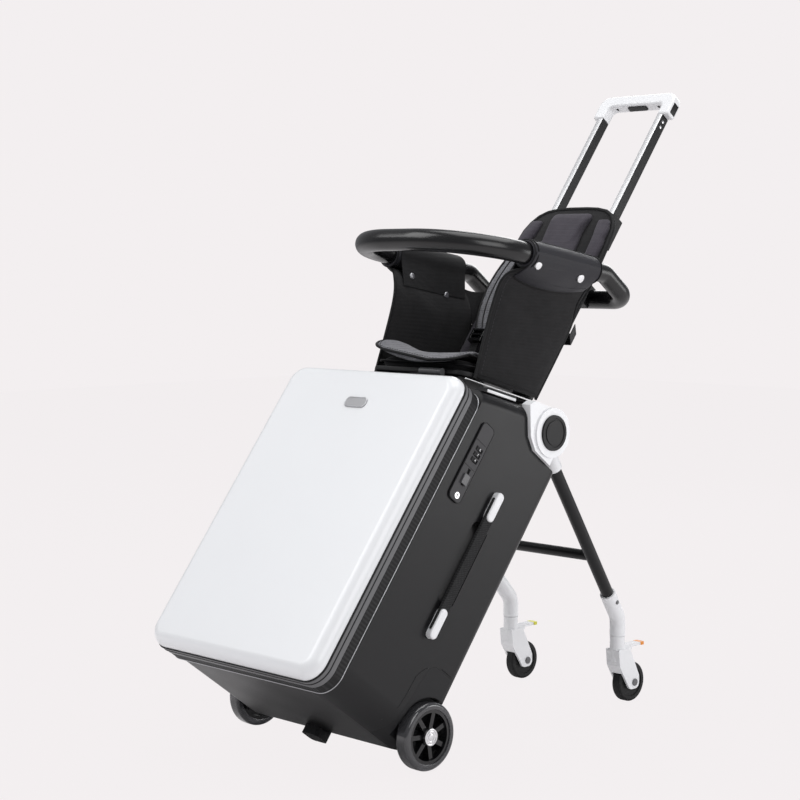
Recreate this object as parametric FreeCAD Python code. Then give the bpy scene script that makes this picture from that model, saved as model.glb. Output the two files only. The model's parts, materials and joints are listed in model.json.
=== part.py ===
import FreeCAD
import Part
import math
import os

# Ride-on suitcase. Sizes in millimetres, angles in degrees.
# The case is drawn upright first: x to the right, v back from the lid's front plane and w up from
# the main axle. It is then leaned back about the axle. Legs and casters are drawn in floor axes.

TILT = 37.0                # lean of the case, back from upright
FIT = 0.3                  # gap between soft or moving neighbours
RUN = 0.05                 # radial gap of a turning pin

# Case
LID_WIDTH = 370.0
LID_HEIGHT = 500.0
LID_BOTTOM = -37.5         # w of the lid's lower edge
LID_CORNER = 30.0
LID_DEPTH = 22.0           # white shell
LID_EDGE = 18.0            # soft front edge
LID_WALL = 3.0
RIM_DEPTH = 18.0           # grey strip behind the lid
RIM_WALL = 5.0
GASKET_DEPTH = 17.0        # dark band in front of the back shell
SHELL_STEP = 2.0           # shell's side beyond the lid's
CASE_DEPTH = 264.0
CASE_WALL = 3.5
TOP_RISE = 21.2            # slope of the case top
TOP_CORNER = 24.0
BOTTOM_CORNER = 48.0
REAR_CORNER = 16.0
NOTCH_DEPTH = 70.0         # rear notch, forward from the case's back
NOTCH_DROP = 9.5           # notch floor, below the lid's top
CREST_LEAD = 44.0          # crest of the sloping top, ahead of the notch
CREST_ROUND = 18.0
NOTCH_ROUND = 18.0
REAR_ROUND = 12.0
HEEL_ROUND = 40.0
BADGE_WIDTH = 46.0
BADGE_HEIGHT = 18.0
BADGE_THICK = 1.2
BADGE_DROP = 64.5          # middle of the plate, below the lid's top
FOOT_HALF = 18.0
FOOT_LENGTH = 30.0
FOOT_INSET = 19.0          # forward from the case's back
FOOT_DROP = 14.0
FOOT_CORNER = 8.0

# Main wheels
WHEEL_R = 50.0
WHEEL_WIDTH = 24.0
WHEEL_PROUD = 12.0         # wheel's outer face beyond the shell's side
AXLE_INSET = 13.6          # forward from the case's back
AXLE_R = 4.0
TYRE_WALL = 10.0
HUB_RIM = 5.0
HUB_BOSS = 13.0
CAP_R = 12.5
CAP_PROUD = 1.0
SPOKES = 7
SPOKE_WIDTH = 7.0
SPOKE_SWEEP = 40.0
ARCH_GAP = 5.0
HOUSING_DEPTH = 86.0
HOUSING_TOP = 92.0
HOUSING_WIDTH = 35.0
HOUSING_ROUND = 22.0

# Rear legs, in floor axes measured from the main axle
HINGE_BACK = 15.0          # hinge line, behind the notch's front
HINGE_LIFT = 42.6          # hinge line, above the notch floor
EAR_R = 38.0
EAR_THICK = 20.0
EAR_PROUD = 9.0            # beyond the shell's side
EAR_STEP = 3.0             # bracket arm set in from the ear's face
BUTTON_R = 27.0
BUTTON_PROUD = 3.0
BUTTON_THICK = 5.5
BUTTON_TRAVEL = 3.0
PIN_R = 5.0
KNUCKLE_R = 22.0
KNUCKLE_WIDTH = 24.0
TUBE_INSET = 11.0          # tube's centre at the hinge, inward from the ear
SLEEVE_R = 13.0
SLEEVE_LENGTH = 77.0
LEG_R = 10.0
CASTER_X = 119.0
KNEE_Z = 144.5             # where the leg line meets the upright stem
SOCKET_LENGTH = 57.0       # white socket above the knee
SOCKET_BEND = 30.0
STEM_Y = 517.7
STEM_Z = 113.6
STEM_R = 12.5
CROSSBAR_R = 8.5
CROSSBAR_SHARE = 0.69
FOLD = 50.0                # leg fold, towards the case
GROOVE_GAP = 3.0
SADDLE_THICK = 12.0

# Casters
CASTER_R = 33.0
CASTER_WIDTH = 17.0
CASTER_TRAIL = 29.0
FORK_WALL = 4.0
FORK_GAP = 1.5
FORK_NECK_Z = 72.0
BOLT_R = 3.0
BOLT_HEAD_R = 6.0
SWIVEL_R = 4.0
SWIVEL_LENGTH = 20.0
PEDAL_DROP = 19.1          # pivot, below the swivel joint
PEDAL_GAP = 8.0            # pivot, behind the stem
PEDAL_PIN = 2.0
LUG_WALL = 3.0
PEDAL_WIDTH = 14.0
PEDAL_LENGTH = 30.0
PEDAL_THICK = 5.0
TIP_LENGTH = 11.0

# Trolley handle
ROD_X = 65.0
ROD_INSET = 17.0           # forward from the case's back
ROD_WIDTH = 12.0
ROD_DEPTH = 18.0
ROD_WALL = 1.7
ROD_OUT = 223.0            # upper rod above the lower one
ROD_OVERLAP = 250.0        # upper rod left inside the lower one
LOWER_LIFT = 467.5         # lower rod's top, above the lid's top
LOWER_BOTTOM = 120.0
GRIP_HALF = 82.0
GRIP_HEIGHT = 47.0
GRIP_BAR = 22.0
GRIP_ARM = 24.0
GRIP_DEPTH = 22.0
GRIP_ROUND = 5.0
GRIP_CORNER = 20.0
GRIP_BUTTON = 40.0
GRIP_BUTTON_DEPTH = 10.0
GRIP_BUTTON_PROUD = 2.5
GRIP_BUTTON_ROOT = 5.0     # button held inside the bar
CLIP_DEPTH = 50.0
CLIP_WALL = 3.0
COLLAR = 8.0

# Seat
PAN_HALF = 105.0
PAN_CORNER = 24.0
PAN_THICK = 8.0
PAN_LIFT = 27.0            # underside of the pan above the sloping top
PAN_FRONT = 48.0           # along the slope, from where the slope starts
PAN_OVER = 10.1            # pan's rear edge, behind the notch's front
CUSHION_SIDE = 6.0         # pan left free beside the cushion
CUSHION_THICK = 22.0
CUSHION_CROWN = 0.15       # share of the thickness
# Share of the length, of the half width and of the thickness.
CUSHION_SECTIONS = [(0, 0.94, 0.62), (0.12, 0.985, 0.8), (0.5, 0.97, 0.82),
                    (0.88, 0.985, 0.8), (1, 0.94, 0.62)]
PAD_DRAWN = 1.5            # how far a pad's side seam is drawn in
CUSHION_SETBACK = 4.0      # behind the pan's front edge
CUSHION_MARGIN = 8.0       # ahead of the pan's rear edge
BRACKET_IN = 58.0
BRACKET_WIDTH = 34.0
BRACKET_FRONT = 14.0
BRACKET_LENGTH = 96.0
BRACKET_RAKE = 40.0        # slope of the bracket's front
RAIL_WIDTH = 22.0
RAIL_INSET = 37.0          # rail's inner side, inward from the shell's side
RAIL_FRONT = 24.0
RAIL_LENGTH = 76.0
RAIL_HEIGHT = 9.0
RAIL_RAKE = 16.0
MAT_OVER = 34.0            # mesh mat ahead of the cushion
MAT_SIDE = 4.0             # cushion left free beside the mat
MAT_LENGTH = 144.0
MAT_THICK = 6.0
MAT_FRONT_CORNER = 44.0
MAT_REAR_CORNER = 12.0
BACK_HALF = 104.0
BACK_CROWN = 0.2           # share of the thickness
# Share of the height, of the half width and of the thickness.
BACK_SECTIONS = [(0, 0.86, 0.6), (0.15, 0.97, 0.8), (0.6, 1.0, 0.8), (0.88, 0.94, 0.75), (1, 0.66, 0.5)]
BACK_INSET = 52.0          # pad's front, forward from the case's back
BACK_THICK = 23.7
BACK_LIFT = 93.5           # pad's lower edge, above the lid's top
BACK_HEIGHT = 389.0
BAR_SIDE = 39.5            # bar's middle line, inward from the shell's side
PANEL_THICK = 5.0
PANEL_GAP = 0.8            # panel's foot to the pan's side
PANEL_LEAD = 18.0          # panel's top, ahead of the sleeve
PANEL_FOOT_V = 92.0        # front edge at the pan
PANEL_WAIST_V = 57.0       # front edge half way up
PANEL_FLARE_V = 42.0       # front edge where the panel flares out to the bar
PANEL_WAIST_LIFT = 160.0   # above the lid's top
PANEL_FLARE_LIFT = 204.0
PANEL_FLARE_OUT = 12.0
PANEL_REAR_GAP = 34.0      # rear edge, forward from the case's back
PANEL_RISE = 70.0          # rear edge above the front edge
PANEL_BOW = 4.0
BAND_WIDTH = 24.0
BAND_THICK = 5.0
BAND_TOP_X = 48.0
BAND_BOW_X = 69.0
BAND_END_X = 47.0
BAND_TOP_LIFT = 390.0      # above the lid's top
BAND_END_LIFT = 216.0
BUCKLE_THICK = 8.0
BUCKLE_HEIGHT = 24.0
BUCKLE_EDGE = 2.0
BUCKLE_SLOT = 5.0
BUCKLE_PITCH = 9.0
BAR_R = 17.0
BAR_RISE = 27.5            # slope of the bumper bar against the case
BAR_INSET = 81.0           # bar's rear end, forward from the case's back
BAR_LIFT = 318.5           # bar's rear end, above the lid's top
BAR_LENGTH = 290.0
BAR_CORNER = 122.0
SLEEVE_WALL = 4.5
SLEEVE_START = 6.0
SLEEVE_END = 146.0
LOOP_R = 15.0
LOOP_REACH = 12.0          # rear loop, behind the case's back
LOOP_LEAD = 24.0
LOOP_BEND = 28.0
STRAP_LIFT = 227.5         # above the lid's top
STRAP_LAP = 10.0           # strap's bend, inside the backrest's side
STRAP_HEIGHT = 22.0
STRAP_THICK = 2.0

# Lock and carry handle, on the right side
LOCK_SETBACK = 20.7        # behind the shell's front
LOCK_WIDTH = 28.0
LOCK_DROP = 32.5           # plate's top, below the lid's top
LOCK_HEIGHT = 128.0
LOCK_CORNER = 8.0
LOCK_THICK = 2.5
DIAL_SETBACK = 15.0        # behind the plate's front edge
DIAL_DROP = 50.0           # middle dial, below the plate's top
DIAL_R = 7.5
DIAL_THICK = 6.0
DIAL_PITCH = 9.0
DIAL_COUNT = 3
DIAL_PROUD = 2.0
SPINDLE_R = 1.5
KEY_LIFT = 9.0             # above the plate's lower end
KEY_R = 5.0
KEY_SLOT = 1.6
KEY_SLOT_HALF = 3.0
LATCH_LIFT = 36.0          # above the plate's lower end
LATCH_TRAVEL = 8.0
LATCH_WIDTH = 12.0
LATCH_LENGTH = 16.0
LATCH_STEM = 6.0
LATCH_STEM_LENGTH = 12.0
LATCH_END_GAP = 4.0
LATCH_PROUD = 3.0
CARRY_INSET = 96.0         # forward from the case's back
CARRY_DROP = 101.5         # handle's top, below the lid's top
CARRY_LENGTH = 245.0
CARRY_CAP = 48.0
CARRY_WIDTH = 15.0
CARRY_PROUD = 11.0
STRAP_PLY = 5.0
STRAP_STAND = 3.0          # strap off the shell's side
STRAP_HALF = 9.0
STRAP_TUCK = 12.0          # strap's end inside the cap
RECESS_DEPTH = 15.0
RECESS_HALF = 18.0
RECESS_END = 8.0           # recess short of the caps
RECESS_CORNER = 10.0

# Lid hinges, on the left side
HINGE_STAND = 4.5          # hinge line off the shell's side
BARREL_R = 4.0
BARREL_PIN = 1.5
BARREL = 20.0
LEAF_REACH = 24.0
LOW_HINGE = 97.5           # above the lid's lower edge
HIGH_HINGE = 142.5         # below the lid's top

# Values worked out from the sizes above
HALF = LID_WIDTH / 2 + SHELL_STEP
LID_TOP = LID_BOTTOM + LID_HEIGHT
RIM_REAR = LID_DEPTH + RIM_DEPTH
GASKET_FRONT = RIM_REAR + FIT
SHELL_FRONT = GASKET_FRONT + GASKET_DEPTH
LEAN = math.radians(TILT)
SLOPE = math.radians(TOP_RISE)
BAR_SLOPE = math.radians(BAR_RISE)
NOTCH_V = CASE_DEPTH - NOTCH_DEPTH
NOTCH_W = LID_TOP - NOTCH_DROP
CREST_V = NOTCH_V - CREST_LEAD
BADGE_W = LID_TOP - BADGE_DROP
AXLE_V = CASE_DEPTH - AXLE_INSET
WHEEL_OUT = HALF + WHEEL_PROUD
HOUSING_V = CASE_DEPTH - HOUSING_DEPTH
HOUSING_X = HALF - HOUSING_WIDTH
HINGE_V = NOTCH_V + HINGE_BACK
HINGE_W = NOTCH_W + HINGE_LIFT
EAR_OUT = HALF + EAR_PROUD
EAR_IN = EAR_OUT - EAR_THICK
KNUCKLE_IN = EAR_IN - KNUCKLE_WIDTH
HINGE_X = EAR_IN - TUBE_INSET
PEDAL_Z = STEM_Z - PEDAL_DROP
PEDAL_Y = STEM_Y + STEM_R + PEDAL_GAP
ROD_V = CASE_DEPTH - ROD_INSET
LOWER_TOP = LID_TOP + LOWER_LIFT
ROD_TOP = LOWER_TOP + ROD_OUT
GRIP_TOP = ROD_TOP + GRIP_HEIGHT
PANEL_X = PAN_HALF + PANEL_GAP
PANEL_REAR = CASE_DEPTH - PANEL_REAR_GAP
PAN_TOP = PAN_LIFT + PAN_THICK
PAN_REAR = (NOTCH_V + PAN_OVER - RIM_REAR) / math.cos(SLOPE)
CUSHION_HALF = PAN_HALF - CUSHION_SIDE
CUSHION_FRONT = PAN_FRONT + CUSHION_SETBACK
CUSHION_REAR = PAN_REAR - CUSHION_MARGIN
RAIL_IN = HALF - RAIL_INSET
BACK_FRONT = CASE_DEPTH - BACK_INSET
BACK_REAR = BACK_FRONT + BACK_THICK
BACK_BOTTOM = LID_TOP + BACK_LIFT
BAR_X = HALF - BAR_SIDE
BAR_REAR_V = CASE_DEPTH - BAR_INSET
BAR_REAR_W = LID_TOP + BAR_LIFT
SLEEVE_OUT = BAR_R + FIT + SLEEVE_WALL
LOOP_V = CASE_DEPTH + LOOP_REACH
STRAP_W = LID_TOP + STRAP_LIFT
LOCK_V = SHELL_FRONT + LOCK_SETBACK
LOCK_TOP = LID_TOP - LOCK_DROP
LOCK_BOTTOM = LOCK_TOP - LOCK_HEIGHT
DIAL_V = LOCK_V + DIAL_SETBACK
DIAL_W = LOCK_TOP - DIAL_DROP
KEY_W = LOCK_BOTTOM + KEY_LIFT
LATCH_W = LOCK_BOTTOM + LATCH_LIFT
CARRY_V = CASE_DEPTH - CARRY_INSET
CARRY_TOP = LID_TOP - CARRY_DROP
CARRY_BOTTOM = CARRY_TOP - CARRY_LENGTH
HINGE_LINE_X = -HALF - HINGE_STAND
HINGE_LINE_V = GASKET_FRONT - FIT / 2
LID_HINGES = (LID_BOTTOM + LOW_HINGE, LID_TOP - HIGH_HINGE)


def vec(x, y, z):
    return FreeCAD.Vector(x, y, z)


def box(x0, x1, v0, v1, w0, w1):
    return Part.makeBox(x1 - x0, v1 - v0, w1 - w0, vec(x0, v0, w0))


def rod_x(radius, x0, x1, v, w):
    return Part.makeCylinder(radius, x1 - x0, vec(x0, v, w), vec(1, 0, 0))


def rod_w(radius, x, v, w0, w1):
    return Part.makeCylinder(radius, w1 - w0, vec(x, v, w0), vec(0, 0, 1))


def mirrored(shape):
    return shape.mirror(vec(0, 0, 0), vec(1, 0, 0))


def both(shape):
    return Part.makeCompound([shape, mirrored(shape)])


def rounded(points, radii):
    # A closed outline of straight runs whose corners are tangent arcs of the given radii.
    edges = []
    starts = []
    ends = []
    count = len(points)
    for i in range(count):
        corner = points[i]
        before = (points[i - 1] - corner).normalize()
        after = (points[(i + 1) % count] - corner).normalize()
        half = before.getAngle(after) / 2
        reach = radii[i] / math.tan(half)
        first = corner + before * reach
        last = corner + after * reach
        starts.append(first)
        ends.append(last)
        if radii[i] > 0:
            middle = (before + after).normalize()
            centre = corner + middle * (radii[i] / math.sin(half))
            edges.append(Part.Arc(first, centre - middle * radii[i], last).toShape())
        else:
            edges.append(None)
    loop = []
    for i in range(count):
        if edges[i]:
            loop.append(edges[i])
        run_end = starts[(i + 1) % count]
        if (run_end - ends[i]).Length > 0.001:
            loop.append(Part.makeLine(ends[i], run_end))
    return Part.Face(Part.Wire(loop))


def side_outline(points, radii, x=0.0):
    return rounded([vec(x, v, w) for v, w in points], radii)


def front_outline(half_width, w0, w1, low_radius, high_radius, v):
    corners = [vec(-half_width, v, w0), vec(half_width, v, w0),
               vec(half_width, v, w1), vec(-half_width, v, w1)]
    return rounded(corners, [low_radius, low_radius, high_radius, high_radius])


def plan_outline(x0, x1, v0, v1, radius, w):
    corners = [vec(x0, v0, w), vec(x1, v0, w), vec(x1, v1, w), vec(x0, v1, w)]
    return rounded(corners, [radius] * 4)


def bent_tube(points, bend, radius):
    # A round bar along straight runs joined by tangent arcs.
    edges = []
    last = points[0]
    for i in range(1, len(points) - 1):
        before = (points[i - 1] - points[i]).normalize()
        after = (points[i + 1] - points[i]).normalize()
        half = before.getAngle(after) / 2
        reach = bend / math.tan(half)
        middle = (before + after).normalize()
        first = points[i] + before * reach
        tip = points[i] + middle * (bend / math.sin(half) - bend)
        if (first - last).Length > 0.001:
            edges.append(Part.makeLine(last, first))
        last = points[i] + after * reach
        edges.append(Part.Arc(first, tip, last).toShape())
    edges.append(Part.makeLine(last, points[-1]))
    path = Part.Wire(edges)
    start = (points[1] - points[0]).normalize()
    section = Part.Wire([Part.makeCircle(radius, points[0], start)])
    return path.makePipeShell([section], True, False)


def lean(shape):
    moved = shape.copy()
    moved.translate(vec(0, -AXLE_V, 0))
    moved.rotate(vec(0, 0, 0), vec(1, 0, 0), -TILT)
    moved.translate(vec(0, 0, WHEEL_R))
    return moved


def on_slope(shape):
    # From slope axes (x, along the sloping top, above it) to the upright case.
    moved = shape.copy()
    moved.rotate(vec(0, 0, 0), vec(1, 0, 0), TOP_RISE)
    moved.translate(vec(0, RIM_REAR, LID_TOP))
    return moved


def on_bar(shape):
    # From bumper bar axes (x, forward along the bar, above it) to the upright case.
    moved = shape.copy()
    moved.rotate(vec(0, 0, 0), vec(0, 0, 1), 180)
    moved.rotate(vec(0, 0, 0), vec(1, 0, 0), BAR_RISE)
    moved.translate(vec(0, BAR_REAR_V, BAR_REAR_W))
    return moved


def slope_w(v):
    return LID_TOP + (v - RIM_REAR) * math.tan(SLOPE)


def bar_point(x, s):
    return vec(x, BAR_REAR_V - s * math.cos(BAR_SLOPE), BAR_REAR_W - s * math.sin(BAR_SLOPE))


pieces = {}


def keep(name, shape):
    pieces[name] = shape


def keep_case(name, shape):
    keep(name, lean(shape))


def keep_pair(name, shape):
    keep(name + "_right", shape)
    keep(name + "_left", mirrored(shape))


def keep_case_pair(name, shape):
    keep_pair(name, lean(shape))


# Lid: white shell, grey rim, bare plate


def lid_shell():
    outer = front_outline(LID_WIDTH / 2, LID_BOTTOM, LID_TOP, LID_CORNER, LID_CORNER, 0)
    body = outer.extrude(vec(0, LID_DEPTH, 0))
    front = [e for e in body.Edges if e.BoundBox.YMax < 0.01]
    body = body.makeFillet(LID_EDGE, front)
    inner = front_outline(LID_WIDTH / 2 - LID_WALL, LID_BOTTOM + LID_WALL, LID_TOP - LID_WALL,
                          LID_CORNER - LID_WALL, LID_CORNER - LID_WALL, LID_WALL)
    hollow = inner.extrude(vec(0, LID_DEPTH, 0))
    rear = [e for e in hollow.Edges if e.BoundBox.YMax < LID_WALL + 0.01]
    hollow = hollow.makeFillet(LID_EDGE - LID_WALL, rear)
    return body.cut(hollow)


def frame_ring(half_width, grow, v0, v1, wall):
    outer = front_outline(half_width, LID_BOTTOM - grow, LID_TOP + grow, LID_CORNER + grow,
                          LID_CORNER + grow, v0)
    inner = front_outline(half_width - wall, LID_BOTTOM - grow + wall, LID_TOP + grow - wall,
                          LID_CORNER + grow - wall, LID_CORNER + grow - wall, v0)
    return outer.cut(inner).extrude(vec(0, v1 - v0, 0))


def badge():
    half = BADGE_WIDTH / 2
    ends = BADGE_HEIGHT / 2 - 1
    plate = front_outline(half, BADGE_W - BADGE_HEIGHT / 2, BADGE_W + BADGE_HEIGHT / 2, ends, ends,
                          -BADGE_THICK)
    return plate.extrude(vec(0, BADGE_THICK, 0))


keep_case("lid_shell", lid_shell())
keep_case("lid_rim", frame_ring(LID_WIDTH / 2 + 1, 1.0, LID_DEPTH, RIM_REAR, RIM_WALL))
keep_case("lid_plate", badge())
keep_case("rim_gasket", frame_ring(LID_WIDTH / 2 + 0.5, 0.5, GASKET_FRONT, SHELL_FRONT, RIM_WALL))


# Back shell


def case_profile(inset):
    points = [
        (SHELL_FRONT, LID_BOTTOM),
        (CASE_DEPTH, LID_BOTTOM),
        (CASE_DEPTH, NOTCH_W),
        (NOTCH_V, NOTCH_W),
        (CREST_V, slope_w(CREST_V)),
        (SHELL_FRONT, slope_w(SHELL_FRONT)),
    ]
    radii = [0, HEEL_ROUND, REAR_ROUND, NOTCH_ROUND, CREST_ROUND, 0]
    face = side_outline(points, radii, -HALF + inset)
    if inset > 0:
        face = face.makeOffset2D(-inset)
    return face


def case_block(inset):
    half = HALF - inset
    block = case_profile(inset).extrude(vec(2 * half, 0, 0))
    top = front_outline(half, LID_BOTTOM - LID_HEIGHT, LID_TOP - inset, 0, TOP_CORNER - inset, RIM_REAR)
    run = 2 * CASE_DEPTH
    block = block.common(top.extrude(vec(0, run, run * math.tan(SLOPE))))
    sides = front_outline(half, LID_BOTTOM + inset, 2 * LID_HEIGHT, BOTTOM_CORNER - inset, 0, 0)
    block = block.common(sides.extrude(vec(0, 2 * CASE_DEPTH, 0)))
    plan = plan_outline(-half, half, -CASE_DEPTH, CASE_DEPTH - inset, REAR_CORNER - inset, -LID_HEIGHT)
    return block.common(plan.extrude(vec(0, 0, 3 * LID_HEIGHT)))


WHEEL_IN = WHEEL_OUT - WHEEL_WIDTH
ARCH_R = WHEEL_R + ARCH_GAP
ARCH_IN = WHEEL_IN - ARCH_GAP


def housing_region(grow):
    points = [
        (HOUSING_V - grow, LID_BOTTOM - HOUSING_ROUND),
        (CASE_DEPTH + HOUSING_ROUND, LID_BOTTOM - HOUSING_ROUND),
        (CASE_DEPTH + HOUSING_ROUND, HOUSING_TOP + grow),
        (HOUSING_V + HOUSING_ROUND - grow, HOUSING_TOP + grow),
    ]
    face = side_outline(points, [0, 0, 0, HOUSING_ROUND], HOUSING_X - grow)
    return face.extrude(vec(HALF - HOUSING_X + 2 * HOUSING_ROUND, 0, 0))


def floor_point(v, w):
    y = (v - AXLE_V) * math.cos(LEAN) + w * math.sin(LEAN)
    z = WHEEL_R - (v - AXLE_V) * math.sin(LEAN) + w * math.cos(LEAN)
    return y, z


HINGE_Y, HINGE_Z = floor_point(HINGE_V, HINGE_W)
LEG_OPEN = math.atan2(STEM_Y - HINGE_Y, HINGE_Z - KNEE_Z) + LEAN
LEG_SHUT = LEG_OPEN - math.radians(FOLD)
GROOVE_IN = CASTER_X + LEG_R
GROOVE_OUT = EAR_IN


def groove(grow):
    # Tapered slot in the back of the case, where a folded leg lies.
    side = SLEEVE_R + GROOVE_GAP + grow
    start_v = HINGE_V - side * math.cos(LEG_SHUT)
    start_w = HINGE_W - side * math.sin(LEG_SHUT)
    depth_v = CASE_DEPTH + HEEL_ROUND
    run = (depth_v - start_v) / math.sin(LEG_SHUT)
    points = [
        (start_v, start_w),
        (depth_v, start_w),
        (depth_v, start_w - run * math.cos(LEG_SHUT)),
    ]
    face = side_outline(points, [0, 0, 0], GROOVE_IN - grow)
    return face.extrude(vec(GROOVE_OUT - GROOVE_IN + 2 * grow, 0, 0))


RECESS = (HALF - RECESS_DEPTH, CARRY_V - RECESS_HALF, CARRY_V + RECESS_HALF,
          CARRY_BOTTOM + CARRY_CAP + RECESS_END, CARRY_TOP - CARRY_CAP - RECESS_END)


def hand_recess(grow):
    x0, v0, v1, w0, w1 = RECESS
    points = [(v0 - grow, w0 - grow), (v1 + grow, w0 - grow), (v1 + grow, w1 + grow), (v0 - grow, w1 + grow)]
    face = side_outline(points, [RECESS_CORNER] * 4, x0 - grow)
    return face.extrude(vec(2 * RECESS_DEPTH + grow, 0, 0))


DIAL_X = HALF + LOCK_THICK + DIAL_PROUD - DIAL_R
DIAL_SPAN = DIAL_COUNT * DIAL_PITCH
LOCK_WELL = (DIAL_X - DIAL_R - 3.0, DIAL_V - DIAL_R - 2.0, DIAL_V + DIAL_R + 2.0)


def lock_well(x1):
    x0, v0, v1 = LOCK_WELL
    return box(x0, x1, v0, v1, DIAL_W - DIAL_SPAN / 2 - 3, DIAL_W + DIAL_SPAN / 2 + 3)


SLEEVE_GROW = 2 * (ROD_WALL + FIT)
LOWER_WIDTH = ROD_WIDTH + SLEEVE_GROW
LOWER_DEPTH = ROD_DEPTH + SLEEVE_GROW
OUTER_WIDTH = LOWER_WIDTH + SLEEVE_GROW
OUTER_DEPTH = LOWER_DEPTH + SLEEVE_GROW


def rod_block(width, depth, w0, w1):
    return box(ROD_X - width / 2, ROD_X + width / 2, ROD_V - depth / 2, ROD_V + depth / 2, w0, w1)


def rod_tube(width, depth, w0, w1):
    hole = rod_block(width - 2 * ROD_WALL, depth - 2 * ROD_WALL, w0 - 1, w1 + 1)
    return rod_block(width, depth, w0, w1).cut(hole)


def back_shell():
    hollow = case_block(CASE_WALL).fuse(
        front_outline(HALF - CASE_WALL, LID_BOTTOM + CASE_WALL, slope_w(SHELL_FRONT) - 2 * CASE_WALL,
                      BOTTOM_CORNER, TOP_CORNER, SHELL_FRONT - 1).extrude(vec(0, 3 * CASE_WALL, 0)))
    for part in (housing_region(CASE_WALL), groove(CASE_WALL)):
        hollow = hollow.cut(part).cut(mirrored(part))
    hollow = hollow.cut(hand_recess(CASE_WALL))
    shell = case_block(0).cut(hollow)
    for part in (housing_region(0), groove(0)):
        shell = shell.cut(part).cut(mirrored(part))
    shell = shell.cut(hand_recess(0)).cut(lock_well(HALF + 1))
    shell = shell.cut(rod_x(KEY_R + RUN, HALF - 2 * CASE_WALL, HALF + 1, DIAL_V, KEY_W))
    hole = rod_block(LOWER_WIDTH + 2 * FIT, LOWER_DEPTH + 2 * FIT, NOTCH_W - 2 * CASE_WALL, NOTCH_W + 1)
    return shell.cut(hole).cut(mirrored(hole))


SHELL = back_shell()
keep_case("back_shell", SHELL)
print("back shell solids", len(SHELL.Solids), "valid", SHELL.isValid())


def wheel_housing():
    block = housing_region(0).common(case_block(0))
    arch = rod_x(ARCH_R, ARCH_IN, 2 * HALF, AXLE_V, 0)
    hole = rod_x(AXLE_R, 0, 2 * HALF, AXLE_V, 0)
    return block.cut(arch).cut(hole)


keep_case("wheel_housings", both(wheel_housing()))
FOOT_REAR = CASE_DEPTH - FOOT_INSET
foot = plan_outline(-FOOT_HALF, FOOT_HALF, FOOT_REAR - FOOT_LENGTH, FOOT_REAR, FOOT_CORNER,
                    LID_BOTTOM - FOOT_DROP)
foot = foot.extrude(vec(0, 0, FOOT_DROP + HEEL_ROUND / 2))
keep_case("bottom_foot", foot.cut(case_block(0)))


# Main wheels


def wheel_tyre():
    ring = rod_x(WHEEL_R, WHEEL_IN, WHEEL_OUT, AXLE_V, 0)
    edges = [e for e in ring.Edges if e.Curve.TypeId == "Part::GeomCircle"]
    ring = ring.makeFillet(WHEEL_WIDTH / 4, edges)
    return ring.cut(rod_x(WHEEL_R - TYRE_WALL, WHEEL_IN - 1, WHEEL_OUT + 1, AXLE_V, 0))


def wheel_hub():
    outside = WHEEL_R - TYRE_WALL
    x0 = WHEEL_IN + 1
    x1 = WHEEL_OUT - 2
    hub = rod_x(outside, x0, x1, AXLE_V, 0).cut(rod_x(outside - HUB_RIM, x0 - 1, x1 + 1, AXLE_V, 0))
    hub = hub.fuse(rod_x(HUB_BOSS, x0, x1, AXLE_V, 0))
    spoke_half = SPOKE_WIDTH / 2
    for i in range(SPOKES):
        arm = box(x0 + 3, x1 - 3, -spoke_half, spoke_half, 0, outside - HUB_RIM / 2)
        arm.rotate(vec(0, -HUB_BOSS / 2, 0), vec(1, 0, 0), SPOKE_SWEEP / 2)
        arm.rotate(vec(0, 0, 0), vec(1, 0, 0), i * 360.0 / SPOKES)
        arm.translate(vec(0, AXLE_V, 0))
        hub = hub.fuse(arm.common(rod_x(outside - HUB_RIM / 2, x0, x1, AXLE_V, 0)))
    return hub.removeSplitter().cut(rod_x(AXLE_R + RUN, 0, 2 * HALF, AXLE_V, 0))


keep_case_pair("wheel_tyre", wheel_tyre())
keep_case_pair("wheel_hub", wheel_hub())
keep_case_pair("wheel_cap", rod_x(CAP_R, WHEEL_OUT - 2, WHEEL_OUT + CAP_PROUD, AXLE_V, 0))
keep_case("wheel_axles", both(rod_x(AXLE_R, HOUSING_X, WHEEL_OUT - 2 - FIT, AXLE_V, 0)))


# Leg hinge brackets on the case


def hinge_bracket():
    disc = rod_x(EAR_R, EAR_IN, EAR_OUT, HINGE_V, HINGE_W)
    arm_points = [
        (CREST_V - 8, slope_w(CREST_V - 8)),
        (NOTCH_V - 22, NOTCH_W + 12),
        (NOTCH_V, NOTCH_W),
        (HINGE_V + 26, NOTCH_W),
        (HINGE_V + 26, HINGE_W),
        (HINGE_V, HINGE_W + EAR_R),
        (CREST_V - 2, slope_w(CREST_V) + 8),
    ]
    arm = side_outline(arm_points, [0, 0, 0, 0, 0, 0, 6], EAR_IN).extrude(vec(EAR_THICK - EAR_STEP, 0, 0))
    ear = disc.fuse(arm).cut(case_block(0)).cut(groove(0))
    well = rod_x(BUTTON_R + FIT, EAR_OUT + BUTTON_PROUD - BUTTON_THICK - BUTTON_TRAVEL - FIT,
                 EAR_OUT + 1, HINGE_V, HINGE_W)
    return ear.cut(well).cut(rod_x(PIN_R, 0, EAR_OUT, HINGE_V, HINGE_W))


BUTTON_IN = EAR_OUT + BUTTON_PROUD - BUTTON_THICK


def hinge_button():
    disc = rod_x(BUTTON_R, BUTTON_IN, EAR_OUT + BUTTON_PROUD, HINGE_V, HINGE_W)
    ring = rod_x(BUTTON_R - 5, EAR_OUT + BUTTON_PROUD - 1.2, EAR_OUT + BUTTON_PROUD + 1, HINGE_V, HINGE_W)
    return disc.cut(ring.cut(rod_x(BUTTON_R - 8, 0, 2 * EAR_OUT, HINGE_V, HINGE_W)))


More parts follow.
